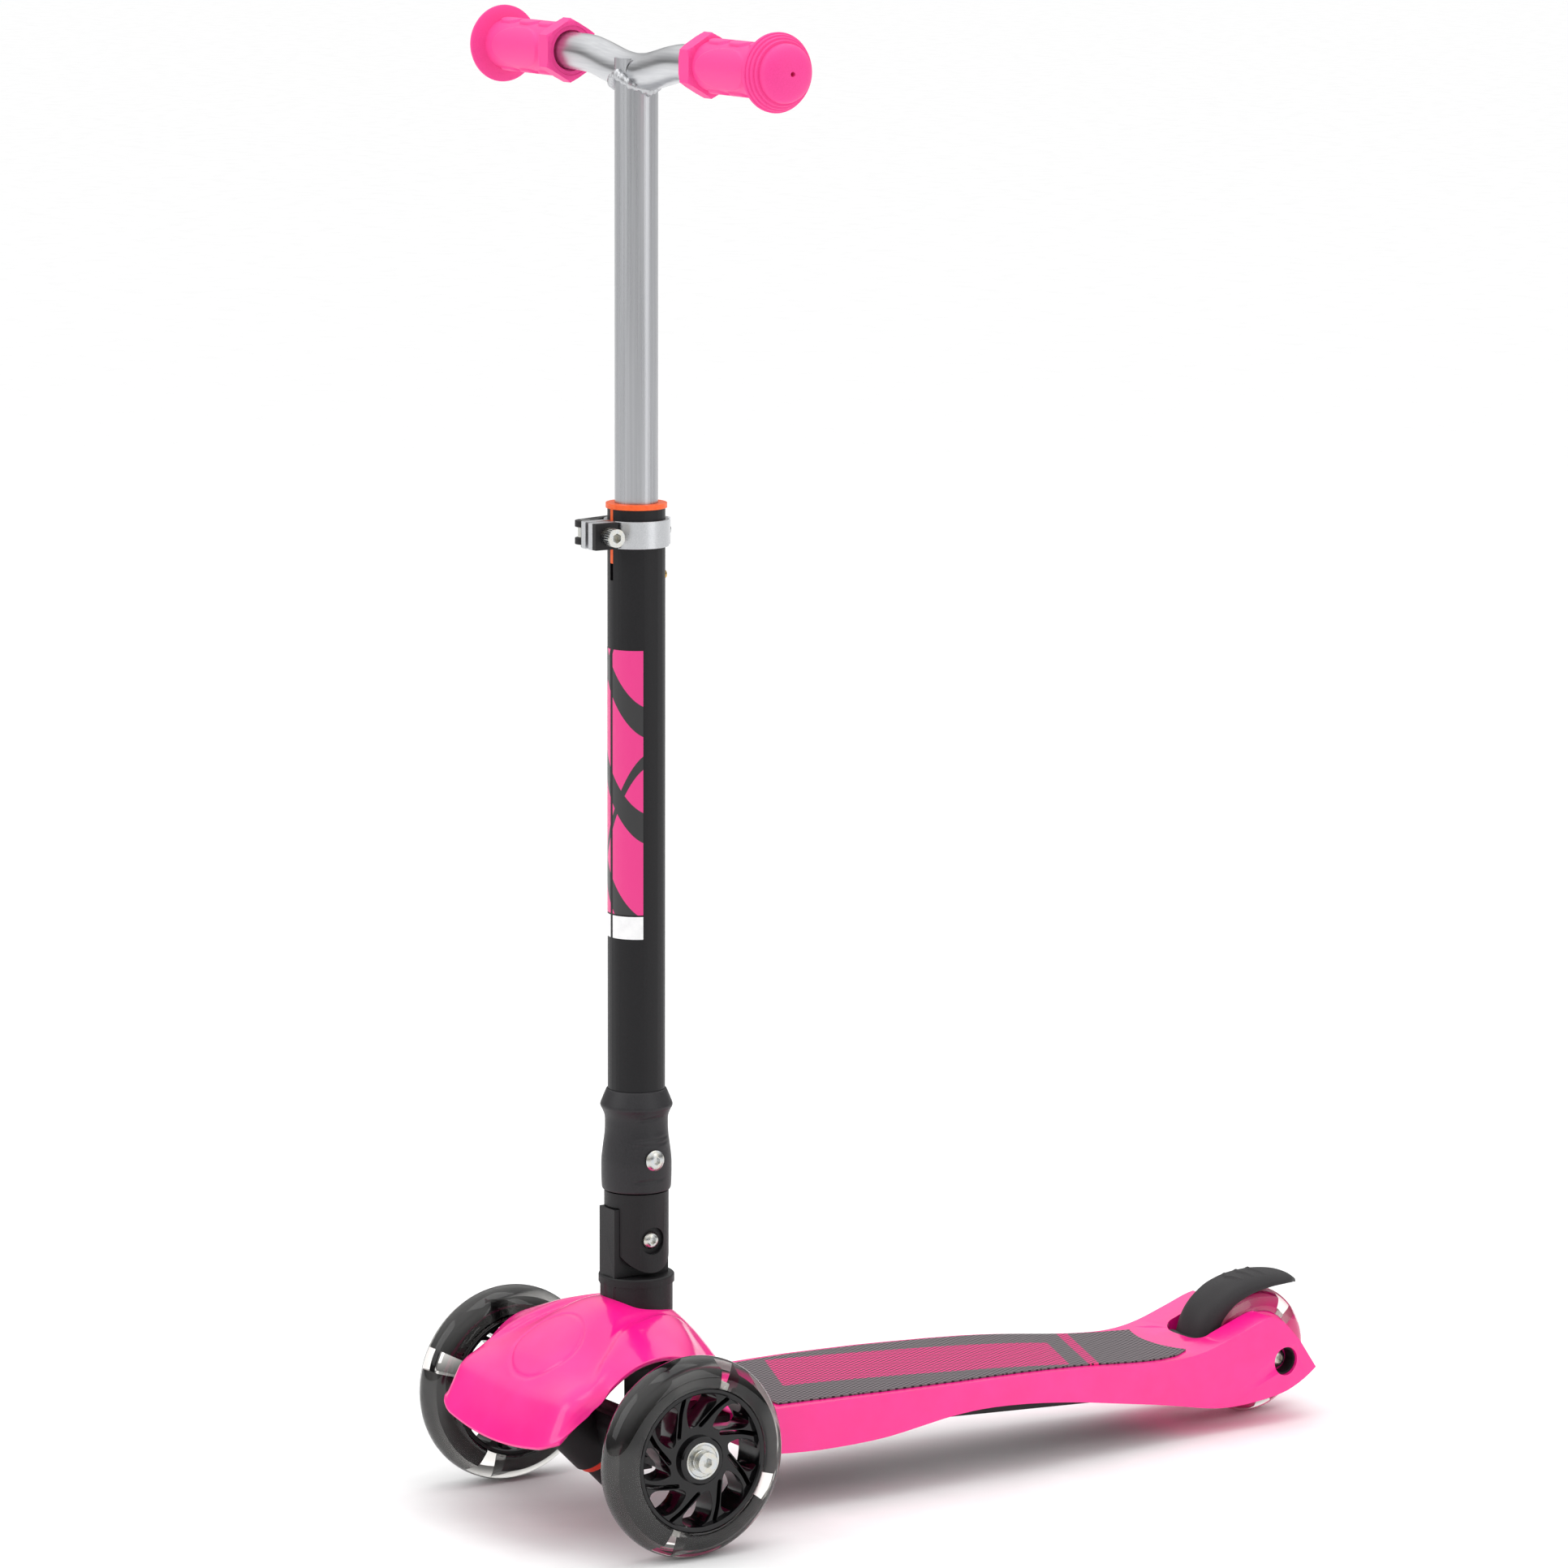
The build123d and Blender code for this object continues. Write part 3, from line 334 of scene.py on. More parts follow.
# %% Acetal, orange; cast elastomer, red; acrylic, white
acetal_orange, tree, shader = finish("acetal_moulded_orange", IOR=1.48)
coords, noise, bump = grain(tree, shader, 2, 0.02, 0.34, 0.46)
tinted(tree, shader, noise.outputs["Fac"], colour("#F4581A"), colour("#FA6A2A"))

elastomer_red, tree, shader = finish("polyurethane_cast_red", IOR=1.5)
coords, noise, bump = grain(tree, shader, 2, 0.02, 0.38, 0.52)
tinted(tree, shader, noise.outputs["Fac"], colour("#E02A16"), colour("#EE3A1E"))

acrylic_white, tree, shader = finish("acrylic_diffusing_white", IOR=1.49, Transmission_Weight=0.2)
coords, noise, bump = grain(tree, shader, 3, 0.02, 0.2, 0.3)
tinted(tree, shader, noise.outputs["Fac"], colour("#F3F3EE"), colour("#FCFCF8"))
print("plain finishes made:", len(bpy.data.materials))

# %% [markdown]
# ## The grip mat's print
# The mat is grey rubber with black dots moulded in staggered rows, some 3.4 mm apart.  A slanted pink
# field is printed across it.  The dots come from the distance to the nearest grid point, and the staggering
# from two grids laid half a step apart.

# %% Moulded grip mat, printed
def dot_field(tree, coords, step, radius):
    """1 inside dots on a staggered grid, 0 outside."""
    fields = []
    for shift in (0.0, 0.5):
        mapped = add(tree, "Mapping", {"Vector": coords, "Scale": (1000 / step, 1000 / (step * 1.732), 0),
                                       "Location": (shift, shift, 0)})
        cell = add(tree, "VectorMath", {0: mapped.outputs["Vector"]}, operation="FRACTION")
        offset = add(tree, "VectorMath", {0: cell.outputs["Vector"], 1: (0.5, 0.5, 0)}, operation="SUBTRACT")
        real = add(tree, "VectorMath", {0: offset.outputs["Vector"], 1: (step, step * 1.732, 0)},
                   operation="MULTIPLY")
        far = add(tree, "VectorMath", {0: real.outputs["Vector"]}, operation="LENGTH")
        fields.append(far.outputs["Value"])
    near = add(tree, "Math", {0: fields[0], 1: fields[1]}, operation="MINIMUM")
    return add(tree, "MapRange", {"Value": near.outputs["Value"], "From Min": radius * 0.85,
                                  "From Max": radius * 1.15, "To Min": 1.0, "To Max": 0.0}).outputs["Result"]


mat_rubber, tree, shader = finish("pvc_mat_dotted_printed", IOR=1.52)
coords, noise, bump = grain(tree, shader, 0.8, 0.03, 0.5, 0.68)
dots = dot_field(tree, coords.outputs["Object"], 3.4, 1.05)
split = add(tree, "SeparateXYZ", {"Vector": coords.outputs["Object"]})
# the pink field: a band along the mat whose edges run at a slant
slant = add(tree, "Math", {0: split.outputs["X"], 1: 0.42, 2: split.outputs["Y"]}, operation="MULTIPLY_ADD")
print("mat finish has", len(tree.nodes), "nodes")
mat_tree, mat_shader, mat_split, mat_dots, mat_noise = tree, shader, split, dots, noise


def band(tree, value, low, high, soft=0.0004):
    """1 where the value lies between low and high, in metres."""
    rise = add(tree, "MapRange", {"Value": value, "From Min": low - soft, "From Max": low + soft})
    fall = add(tree, "MapRange", {"Value": value, "From Min": high - soft, "From Max": high + soft,
                                  "To Min": 1.0, "To Max": 0.0})
    both = add(tree, "Math", {0: rise.outputs["Result"], 1: fall.outputs["Result"]}, operation="MULTIPLY")
    return both.outputs["Value"]


wedge = add(tree, "Math", {0: split.outputs["Y"], 1: -0.16, 2: split.outputs["X"]}, operation="MULTIPLY_ADD")
field = add(tree, "Math", {0: band(tree, slant.outputs["Value"], AXLE.y + 0.128, AXLE.y + 0.330),
                           1: band(tree, wedge.outputs["Value"], -0.034, 0.030)}, operation="MULTIPLY")
stripe = band(tree, slant.outputs["Value"], AXLE.y + 0.344, AXLE.y + 0.352)
printed = add(tree, "Math", {0: field.outputs["Value"], 1: stripe}, operation="MAXIMUM")
ground = add(tree, "Mix", {"Factor": printed.outputs["Value"], "A": colour("#6F666A"),
                           "B": colour("#E0307F")}, data_type="RGBA")
dotted = add(tree, "Mix", {"Factor": dots, "A": ground.outputs["Result"], "B": colour("#151416")},
             data_type="RGBA")
tree.links.new(dotted.outputs["Result"], shader.inputs["Base Color"])
raised = add(tree, "Math", {0: dots, 1: 4.0, 2: noise.outputs["Fac"]}, operation="MULTIPLY_ADD")
tree.links.new(raised.outputs["Value"], bump.inputs["Height"])

# %% [markdown]
# ## The stem's film
# A glossy vinyl film is wrapped on the tube.  It is pink with black slashes that lean the same way, and a
# plain light strip sits below it.  The slashes come from a slanted coordinate cut into stripes of
# uneven width, so they look drawn and not counted.

# %% Vinyl film, printed
film_pink, tree, shader = finish("vinyl_film_printed_pink", IOR=1.5, Coat_Weight=0.3, Coat_Roughness=0.15)
coords, noise, bump = grain(tree, shader, 5, 0.01, 0.3, 0.4)
split = add(tree, "SeparateXYZ", {"Vector": coords.outputs["Object"]})
lean = add(tree, "Math", {0: split.outputs["X"], 1: 1.5, 2: split.outputs["Z"]}, operation="MULTIPLY_ADD")
steps = add(tree, "Math", {0: lean.outputs["Value"], 1: 0.0315}, operation="PINGPONG")
bars = add(tree, "MapRange", {"Value": steps.outputs["Value"], "From Min": 0.0088, "From Max": 0.0092,
                              "To Min": 1.0, "To Max": 0.0})
cut = add(tree, "Math", {0: split.outputs["X"], 1: -2.4, 2: split.outputs["Z"]}, operation="MULTIPLY_ADD")
cross = add(tree, "Math", {0: cut.outputs["Value"], 1: 0.052}, operation="PINGPONG")
thin = add(tree, "MapRange", {"Value": cross.outputs["Value"], "From Min": 0.0038, "From Max": 0.0042,
                              "To Min": 1.0, "To Max": 0.0})
black = add(tree, "Math", {0: bars.outputs["Result"], 1: thin.outputs["Result"]}, operation="MAXIMUM")
drawn = add(tree, "Mix", {"Factor": black.outputs["Value"], "A": colour("#E32682"), "B": colour("#1A191B")},
            data_type="RGBA")
tree.links.new(drawn.outputs["Result"], shader.inputs["Base Color"])

film_white, tree, shader = finish("vinyl_film_white", IOR=1.5)
coords, noise, bump = grain(tree, shader, 5, 0.01, 0.3, 0.4)
tinted(tree, shader, noise.outputs["Fac"], colour("#E9E9EA"), colour("#F4F4F4"))
print("film finishes made")

# %% [markdown]
# ## Camera, floor and light
# A long lens from a few metres away keeps the scooter's upright lines nearly parallel.  Light comes from
# large soft boxes on both sides and a bright room, and the floor is plain and pale.

# %% Camera
HEADING = math.radians(57.115)
PITCH = math.radians(9.49)
ROLL = math.radians(0.192)
BEARING = math.radians(58.616)
DISTANCE, HEIGHT = 4.17913, 1.1411
eye = Vector((DISTANCE * math.sin(BEARING), AXLE.y - DISTANCE * math.cos(BEARING), HEIGHT))
forward = Vector((-math.sin(HEADING) * math.cos(PITCH), math.cos(HEADING) * math.cos(PITCH),
                  -math.sin(PITCH)))
right = Vector((math.cos(HEADING), math.sin(HEADING), 0))
up = right.cross(forward)
turn = Matrix((right, up, -forward)).transposed() @ Matrix.Rotation(ROLL, 3, "Z")
lens = bpy.data.cameras.new("long_lens")
lens.lens = 165.96
lens.sensor_width = 36
camera = bpy.data.objects.new("long_lens", lens)
camera.matrix_world = Matrix.Translation(eye) @ turn.to_4x4()
bpy.context.scene.collection.objects.link(camera)
bpy.context.scene.camera = camera
print("camera at", eye[:])

# %% Floor
floor_paint, tree, shader = finish("floor_matte_white", IOR=1.45)
coords, noise, bump = grain(tree, shader, 40, 0.1, 0.75, 0.85)
tinted(tree, shader, noise.outputs["Fac"], colour("#FAFAFA"), colour("#FFFFFF"))
sheet = bmesh.new()
bmesh.ops.create_grid(sheet, x_segments=2, y_segments=2, size=40)
floor_mesh = bpy.data.meshes.new("floor")
sheet.to_mesh(floor_mesh)
sheet.free()
floor_mesh.materials.append(floor_paint)
floor = bpy.data.objects.new("floor", floor_mesh)
bpy.context.scene.collection.objects.link(floor)

# %% Light
room = bpy.data.worlds.new("bright_room")
room.use_nodes = True
room.node_tree.nodes["Background"].inputs["Color"].default_value = (1, 1, 1, 1)
# bright overhead, darker towards the floor's far edge
sky = add(room.node_tree, "TexCoord", {})
climb = add(room.node_tree, "SeparateXYZ", {"Vector": sky.outputs["Generated"]})
glow = add(room.node_tree, "MapRange", {"Value": climb.outputs["Z"], "From Min": 0.0, "From Max": 0.7,
                                        "To Min": 0.12, "To Max": 1.2})
glow.interpolation_type = "SMOOTHSTEP"
room.node_tree.links.new(glow.outputs["Result"], room.node_tree.nodes["Background"].inputs["Strength"])
bpy.context.scene.world = room
bpy.context.scene.view_settings.view_transform = "Standard"


def soft_box(name, where, size, power):
    box = bpy.data.lights.new(name, "AREA")
    box.shape = "RECTANGLE"
    box.size, box.size_y = size
    box.energy = power
    lamp = bpy.data.objects.new(name, box)
    lamp.location = where
    lamp.rotation_euler = (Vector((0, 0, 0.4)) - Vector(where)).to_track_quat("-Z", "Y").to_euler()
    bpy.context.scene.collection.objects.link(lamp)


soft_box("key_left", (-0.6, -2.6, 1.9), (2.0, 2.4), 20)
soft_box("fill_right", (2.8, 1.1, 1.4), (1.4, 2.4), 13)
soft_box("top", (0.2, 0.1, 3.0), (2.0, 2.0), 16)
print("lights placed")

# %% [markdown]
# ## The hood
# The hood is one thin moulded shell over the steering truck.  Its front is a steep lip.  A crease parts the
# lip from a shield that rises to the stem's collar.  A soft valley runs down both sides of the shield,
# and beyond it a panel swells over each wheel and ends at the wheel's arch.  A grid is a good start for
# such a shell.  Each row of the grid is one section across, drawn through seven points: three on the
# shield, one in the valley, and three on the panel.  A wall is added afterwards.

# %% Hood sections
# Where the seven points of a section lie on the way from the middle to the edge.
STOPS = (0.0, 0.30, 0.52, 0.60, 0.68, 0.85, 1.0)
# Each section: its place on the way from the lip to the deck, then (x, y, z) of its seven points.
HOOD = [
    (0.00, (0, -73.8, 57.4), (24, -73.6, 58.6), (48, -72.8, 62), (54, -72.2, 63.6),
     (58, -71.2, 65.2), (62, -69.6, 67), (65, -67.4, 69.2)),
    (0.05, (0, -68, 71), (24, -67.8, 71.5), (50, -67.4, 74), (57, -66.8, 74.6),
     (61.6, -65.4, 74.8), (65, -63, 74.6), (67.4, -60, 74.4)),
    (0.09, (0, -60.8, 84), (24, -60.8, 84.4), (52, -61, 87), (59.6, -60.2, 86.6),
     (64, -58, 85.4), (66.8, -55, 83), (68.6, -51.6, 80.4)),
    (0.105, (0, -58.2, 87.6), (24, -58.2, 88), (52.4, -58.4, 90.2), (60, -57.4, 89.6),
     (64.6, -55, 88.2), (67.4, -51.8, 85.2), (69, -48.6, 82.6)),
    (0.12, (0, -55.2, 91.2), (24, -55, 91.4), (52.6, -55, 93), (60, -53.8, 92.4),
     (64.8, -51.4, 91), (67.8, -48.4, 88), (69.4, -45.6, 85.6)),
    (0.15, (0, -50, 97.4), (24, -49.6, 97.2), (52, -48, 97), (59, -46.6, 96.4),
     (64, -44.4, 95.4), (67.6, -42, 92), (69.6, -39.8, 89.6)),
    (0.20, (0, -43.6, 104.6), (24, -43, 103.8), (50.4, -39.8, 101.2), (56, -38.8, 101),
     (61, -37.2, 101.6), (66.6, -35.4, 98.6), (70, -34, 97.2)),
    (0.28, (0, -33.6, 113.2), (22, -33, 111.8), (45.6, -29.4, 108), (50, -29, 107.8),
     (54.4, -28.4, 109.6), (63.8, -27.6, 106.4), (71, -26.4, 103.6)),
    (0.36, (0, -22.6, 121.2), (20, -22, 119.6), (41, -21.2, 113.6), (45.4, -21, 113),
     (49.6, -20.4, 114.8), (61.4, -20, 111.4), (72, -19, 108.2)),
    (0.43, (0, -11, 128), (16, -11, 126.4), (33, -12, 120), (38.6, -12, 118.2),
     (44, -11.4, 119.8), (60, -11, 115.6), (73, -11, 111.2)),
    (0.49, (0, 2, 132.8), (13, 1, 131.2), (25, -1, 126), (32, -1, 122.8),
     (40, -0.6, 124.2), (58, -0.4, 118.6), (73.6, -1, 112.6)),
    (0.54, (0, 16, 133.8), (12, 15, 131.8), (22, 13, 127.4), (28, 12, 124.6),
     (36.6, 11.6, 126), (56, 10, 119.4), (73, 9, 111.6)),
    (0.60, (0, 30, 131.4), (12, 29, 130.4), (22, 27, 127), (26.4, 26, 125.4),
     (33, 25, 126.4), (53, 21, 119.2), (71, 19, 107.8)),
    (0.66, (0, 44, 125), (12, 43, 124.4), (22, 40.6, 123.2), (27, 39, 122),
     (33, 36.6, 121.8), (50, 32, 115.6), (68, 28.4, 101)),
    (0.72, (0, 54, 116), (14, 53, 115.4), (26, 50.4, 113.4), (31, 48.6, 112),
     (37, 45.6, 110), (50.2, 41, 103.6), (64.2, 36.4, 91)),
    (0.78, (0, 63, 105.4), (15, 62.2, 105), (29, 59, 102.2), (34.6, 57, 100.6),
     (40, 54, 97.4), (50, 50, 90.6), (60.4, 44.6, 79.6)),
    (0.84, (0, 72, 93), (16, 71.2, 92.4), (32, 68.2, 89.4), (38, 66.2, 87),
     (43, 63.6, 83.8), (50, 60.2, 78), (58, 55, 70.6)),
    (0.90, (0, 81, 80.6), (17, 80.4, 80), (34, 78.6, 77.4), (40, 77, 75.8),
     (45, 75, 73.6), (50.4, 72.8, 70.6), (56, 69.6, 67)),
    (1.00, (0, 93, 66.4), (17, 92.8, 66.4), (35, 92, 66.4), (41, 91.2, 66.4),
     (46, 90, 66.4), (50.4, 88.6, 66.4), (54.2, 86.6, 66.4)),
]
HOOD_WALL = 2.6
# The oval line on the shield: its half length and half width, its middle and its depth.
OVAL_X, OVAL_Y, OVAL_MIDDLE, OVAL_DEPTH = 27.5, 18.6, -35, 0.7


def hood_section(way):
    """Seven stations of the section at a place on the way, with one mirrored before the middle."""
    flat = [(row[0], *(value for point in row[1:] for value in point)) for row in HOOD]
    values = along(flat, way)
    points = [(stop, *values[3 * i:3 * i + 3]) for i, stop in enumerate(STOPS)]
    _, x, y, z = points[1]
    return [(-STOPS[1], -x, y, z)] + points


def oval_line(x, y):
    """Depth of the thin oval line on the shield, in millimetres."""
    ring = math.hypot(x / OVAL_X, (y - OVAL_MIDDLE) / OVAL_Y)
    return OVAL_DEPTH * math.exp(-((ring - 1) * 22 / 0.8) ** 2)


# %% Hood shell
COLUMNS, ROWS = 220, 200
hood = bmesh.new()
bmesh.ops.create_grid(hood, x_segments=COLUMNS, y_segments=ROWS, size=1.0)
sections = {}
for vert in hood.verts:
    across, way = vert.co.x, min(1.0, max(0.0, (vert.co.y + 1) / 2))
    key = round(way, 5)
    if key not in sections:
        sections[key] = hood_section(way)
    x, y, z = along(sections[key], min(abs(across), 1.0))
    depth = oval_line(x, y)
    vert.co = place(math.copysign(x, across), y + 0.66 * depth, z - 0.75 * depth)
hood_piece = keep(hood, "hood", "deck", abs_pink, "front_hood", angle=60)
modify(hood_piece, "SOLIDIFY", thickness=mm(HOOD_WALL), offset=-1.0)
low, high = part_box("front_hood")
print("hood's box in the engineering model:", [round(v * 1000) for v in (*low, *high)])

# %% [markdown]
# ## The wheels
# A front wheel is a black core with a clear tyre cast around it.  The core has a rim, a hub and eight
# swirling spokes.  The spokes are what is left of a disc between eight leaning windows and eight narrow
# slots.  Each loop, the rim's and every window's, becomes a wall of a few rings that step back at both ends
# and so round the edges.  The flat ends are then filled between the loops by a triangulation that knows
# which loops are holes.  Anchors, the black segments inside the tyre, are short turned pieces.

# %% Spoked disc
# Gaps between the anchors of a tyre: the angle of each from the rear towards the top, and its width.
FRONT_GAPS = ((66, 14), (251, 14), (334, 18))
REAR_GAPS = ((45, 26), (165, 26), (285, 26))
# One window's outline and one slot's middle line, as (radius, angle) points.
WINDOW = ((21.4, 19), (26, 18.8), (31, 16), (35.8, 11.4), (39.2, 5), (40.2, -3), (40.0, -11), (38.2, -17.2),
          (34.5, -19), (30.5, -15.8), (26.5, -9.3), (23, -1.2), (20.8, 6), (20.3, 13))
SLOT = ((20.5, -2), (23.5, -10), (28.5, -17.8), (33, -23.2), (39.0, -29.6))
SLOT_HALF = 1.25
WINDOW_COUNT = 8
# The steps of a rounded edge, as angles around it.
EDGE_ANGLES = (0, 0.52, 1.05, math.pi / 2)


def around(radius, angle):
    return radius * math.cos(math.radians(angle)), radius * math.sin(math.radians(angle))


def closed_curve(points, fine=4):
    """More points on the smooth closed curve through a few."""
    count = len(points)
    stations = [(i, *points[i % count]) for i in range(-2, count + 2)]
    return [along(stations, i + k / fine) for i in range(count) for k in range(fine)]


def slot_outline(turn, fine=5):
    """The outline of a narrow slot with round ends, from its middle line."""
    stations = [(i, *around(r, a + turn)) for i, (r, a) in enumerate(SLOT)]
    line = [Vector(along(stations, k / fine)) for k in range(fine * (len(SLOT) - 1) + 1)]
    there, back = [], []
    for index, point in enumerate(line):
        heading = (line[min(index + 1, len(line) - 1)] - line[max(index - 1, 0)]).normalized()
        aside = Vector((-heading.y, heading.x)) * SLOT_HALF
        there.append(point + aside)
        back.append(point - aside)
    outline = []
    for side, tip in ((there, line[-1]), (back[::-1], line[0])):
        outline += side
        spoke = side[-1] - tip
        outline += [tip + Matrix.Rotation(-math.radians(30 * step), 2) @ spoke for step in range(1, 6)]
    return outline


def insets(points, amount):
    """The loop moved to its left by an amount, in millimetres."""
    moved = []
    for index, (x, y) in enumerate(points):
        ahead, behind = points[(index + 1) % len(points)], points[index - 1]
        aside = Vector((behind[1] - ahead[1], ahead[0] - behind[0])).normalized() * amount
        moved.append((x + aside.x, y + aside.y))
    return moved


def wound(points, leftward):
    """The loop's points in the order that turns left, or right."""
    area = sum(a[0] * b[1] - b[0] * a[1] for a, b in zip(points, points[1:] + points[:1]))
    return list(points) if (area > 0) == leftward else list(points)[::-1]


def disc(rim, windows, half, rounding):
    """A flat disc with windows and rounded edges, standing across X."""
    loops = [wound([around(rim, a) for a in range(0, 360, 4)], True)] + [wound(w, False) for w in windows]
    loops = [[tuple(point) for point in loop] for loop in loops]
    steps = [(rounding * (1 - math.cos(t)), rounding * (1 - math.sin(t))) for t in EDGE_ANGLES]
    levels = [(-half + out, inset) for inset, out in steps[::-1]]
    levels += [(half - out, inset) for inset, out in steps]
    bm = bmesh.new()
    ends, flat, faces = {-1: [], 1: []}, [], []
    for loop in loops:
        rings = [[bm.verts.new((mm(level), mm(x), mm(z))) for x, z in insets(loop, inset)]
                 for level, inset in levels]
        for lower, upper in zip(rings, rings[1:]):
            for index in range(len(loop)):
                bm.faces.new((lower[index - 1], lower[index], upper[index], upper[index - 1]))
        ends[-1] += rings[0]
        ends[1] += rings[-1]
        indices = list(range(len(flat), len(flat) + len(loop)))
        faces.append(indices if loop is loops[0] else indices[::-1])
        flat += [Vector(point) for point in insets(loop, rounding)]
    found = geometry.delaunay_2d_cdt(flat, [], faces, 0, 1e-5)
    for corners, owners in zip(found[2], found[5]):
        if owners == [0]:
            picked = [found[3][corner][0] for corner in corners]
            for end in (-1, 1):
                bm.faces.new([ends[end][pick] for pick in (picked if end > 0 else picked[::-1])])
    bmesh.ops.recalc_face_normals(bm, faces=bm.faces)
    return bm


def swirl_windows():
    windows = []
    for index in range(WINDOW_COUNT):
        turn = index * 360 / WINDOW_COUNT
        windows.append(closed_curve([around(r, a + turn) for r, a in WINDOW]))
        windows.append(slot_outline(turn))
    return windows


# %% Wheel parts
def flat_ends(piece):
    """Shades the faces that lie across X flat, so the rounded edges do not bleed into them."""
    for polygon in piece.data.polygons:
        if abs(polygon.normal.x) > 0.9999:
            polygon.use_smooth = False


def rim_and_hub(radius, hub, half=12.2):
    rim = turned([(-half, radius - 2.4), (-half, radius - 0.7), (-half + 0.7, radius), (half - 0.7, radius),
                  (half, radius - 0.7), (half, radius - 2.4), (half - 0.8, radius - 3.2),
                  (-half + 0.8, radius - 3.2), (-half, radius - 2.4)], "X", 120)
    boss = turned([(-12.4, 11.1), (-12.4, hub - 0.9), (-11.5, hub), (11.5, hub), (12.4, hub - 0.9),
                   (12.4, 11.1), (5.5, 11.1), (5.5, 5.5), (-5.5, 5.5), (-5.5, 11.1), (-12.4, 11.1)], "X", 72)
    return rim, boss


def anchors(inner, outer, gaps):
    """The core's anchor ring inside the tyre, in segments between the gaps."""
    parts = []
    for index, (angle, width) in enumerate(gaps):
        following, wide = gaps[(index + 1) % len(gaps)]
        start = angle + width / 2
        sweep = (following - wide / 2 - start) % 360
        parts.append(turned([(-9.5, inner), (-9.5, inner + 2), (-7.5, outer - 2), (-6, outer), (6, outer),
                             (7.5, outer - 2), (9.5, inner + 2), (9.5, inner)], "X", max(6, int(sweep / 4)),
                            sweep=sweep, start=start + 90))
    return parts


def tyre_profile(radius, inner, half=12.5):
    """Half-round tread, as (along, radius) points around the whole section."""
    points = [(-half + 0.4, inner), (-half, inner + 1)]
    shoulder = radius - half
    for index in range(21):
        angle = math.pi - math.pi * index / 20
        points.append((half * math.cos(angle), shoulder + half * math.sin(angle)))
    return points + [(half, inner + 1), (half - 0.4, inner), (-half + 0.4, inner)]


# %% Build the front wheels
for side, sign in (("left", 1), ("right", -1)):
    hub_place = middle(side + "_tyre")
    spokes = disc(41.6, swirl_windows(), 8.6, 0.3)
    rim, boss = rim_and_hub(43.0, 14.4)
    core = joined(spokes, rim, boss, *anchors(42.6, 53.2, FRONT_GAPS))
    if sign < 0:
        mirrored = Matrix.Rotation(math.radians(45), 3, "X") @ Matrix.Rotation(math.pi, 3, "Z")
        bmesh.ops.rotate(core, verts=core.verts, cent=(0, 0, 0), matrix=mirrored)
    bmesh.ops.translate(core, verts=core.verts, vec=hub_place)
    flat_ends(keep(core, side + "_wheel_core", side + "_wheel", nylon_gloss, side + "_core"))
    rubber = turned(tyre_profile(60, 43.1), "X", 144, centre=hub_place)
    keep(rubber, side + "_wheel_tyre", side + "_wheel", clear_pu, side + "_tyre", angle=50)

# %% Build the rear wheel
holes = [[(a + 3.0 * math.cos(b), c + 3.0 * math.sin(b)) for b in (math.tau * k / 12 for k in range(12))]
         for a, c in (around(18.4, turn) for turn in range(0, 360, 72))]
rim, boss = rim_and_hub(26.0, 13.6)
core = joined(disc(24.0, holes, 5.5, 0.5), rim, boss, *anchors(25.6, 35.4, REAR_GAPS))
bmesh.ops.translate(core, verts=core.verts, vec=REAR)
flat_ends(keep(core, "rear_wheel_core", "rear_wheel", abs_pink, "rear_core"))
keep(turned(tyre_profile(40, 26.1), "X", 128, centre=REAR), "rear_wheel_tyre", "rear_wheel", clear_pu,
     "rear_tyre", angle=50)

# %% [markdown]
# ## The grips
# Each grip is one soft moulding.  It has a hexagonal collar towards the middle, a body with one long oval
# pad at the front and at the back and three finger pads above and below, and a ringed dome with a small
# air hole at its end.  The body is turned first.  The collar's six sides and the pads are then pushed
# into it, vertex by vertex, because they fade into the round form.

# %% Grip form
GRIP_START, COLLAR_END, BODY_END, GRIP_END = 72.0, 83.0, 147.0, 167.0


def facing_gap(angle, facing):
    """Degrees between an angle about the bar and a direction."""
    return (math.degrees(angle) - facing + 180) % 360 - 180


def collar_radius(x, angle):
    """A hexagon with a corner up, its outer edges broken."""
    sector = (math.degrees(angle) + 30) % 60 - 30
    flat = 16.4 / math.cos(math.radians(sector))
    from_end = min(x - GRIP_START, COLLAR_END - x)
    return min(flat, 17.0 + 1.5 * min(from_end, 1.4))


def body_radius(x, angle):
    """The round body with its oval pads and finger pads."""
    pad = 0.0
    for facing in (0, 180):
        inside = ((x - 113) / 25.5) ** 2 + (facing_gap(angle, facing) / 52) ** 2
        pad = max(pad, 0.5 - 0.5 * math.tanh((inside - 1) * 20))
    finger = 0.0
    for facing in (90, 270):
        for middle_x in (94, 115.5, 137):
            inside = ((x - middle_x) / 9.8) ** 4 + (facing_gap(angle, facing) / 25) ** 2
            finger = max(finger, 0.5 - 0.5 * math.tanh((inside - 1) * 9))
    return 14.4 + 1.15 * pad + 1.45 * finger


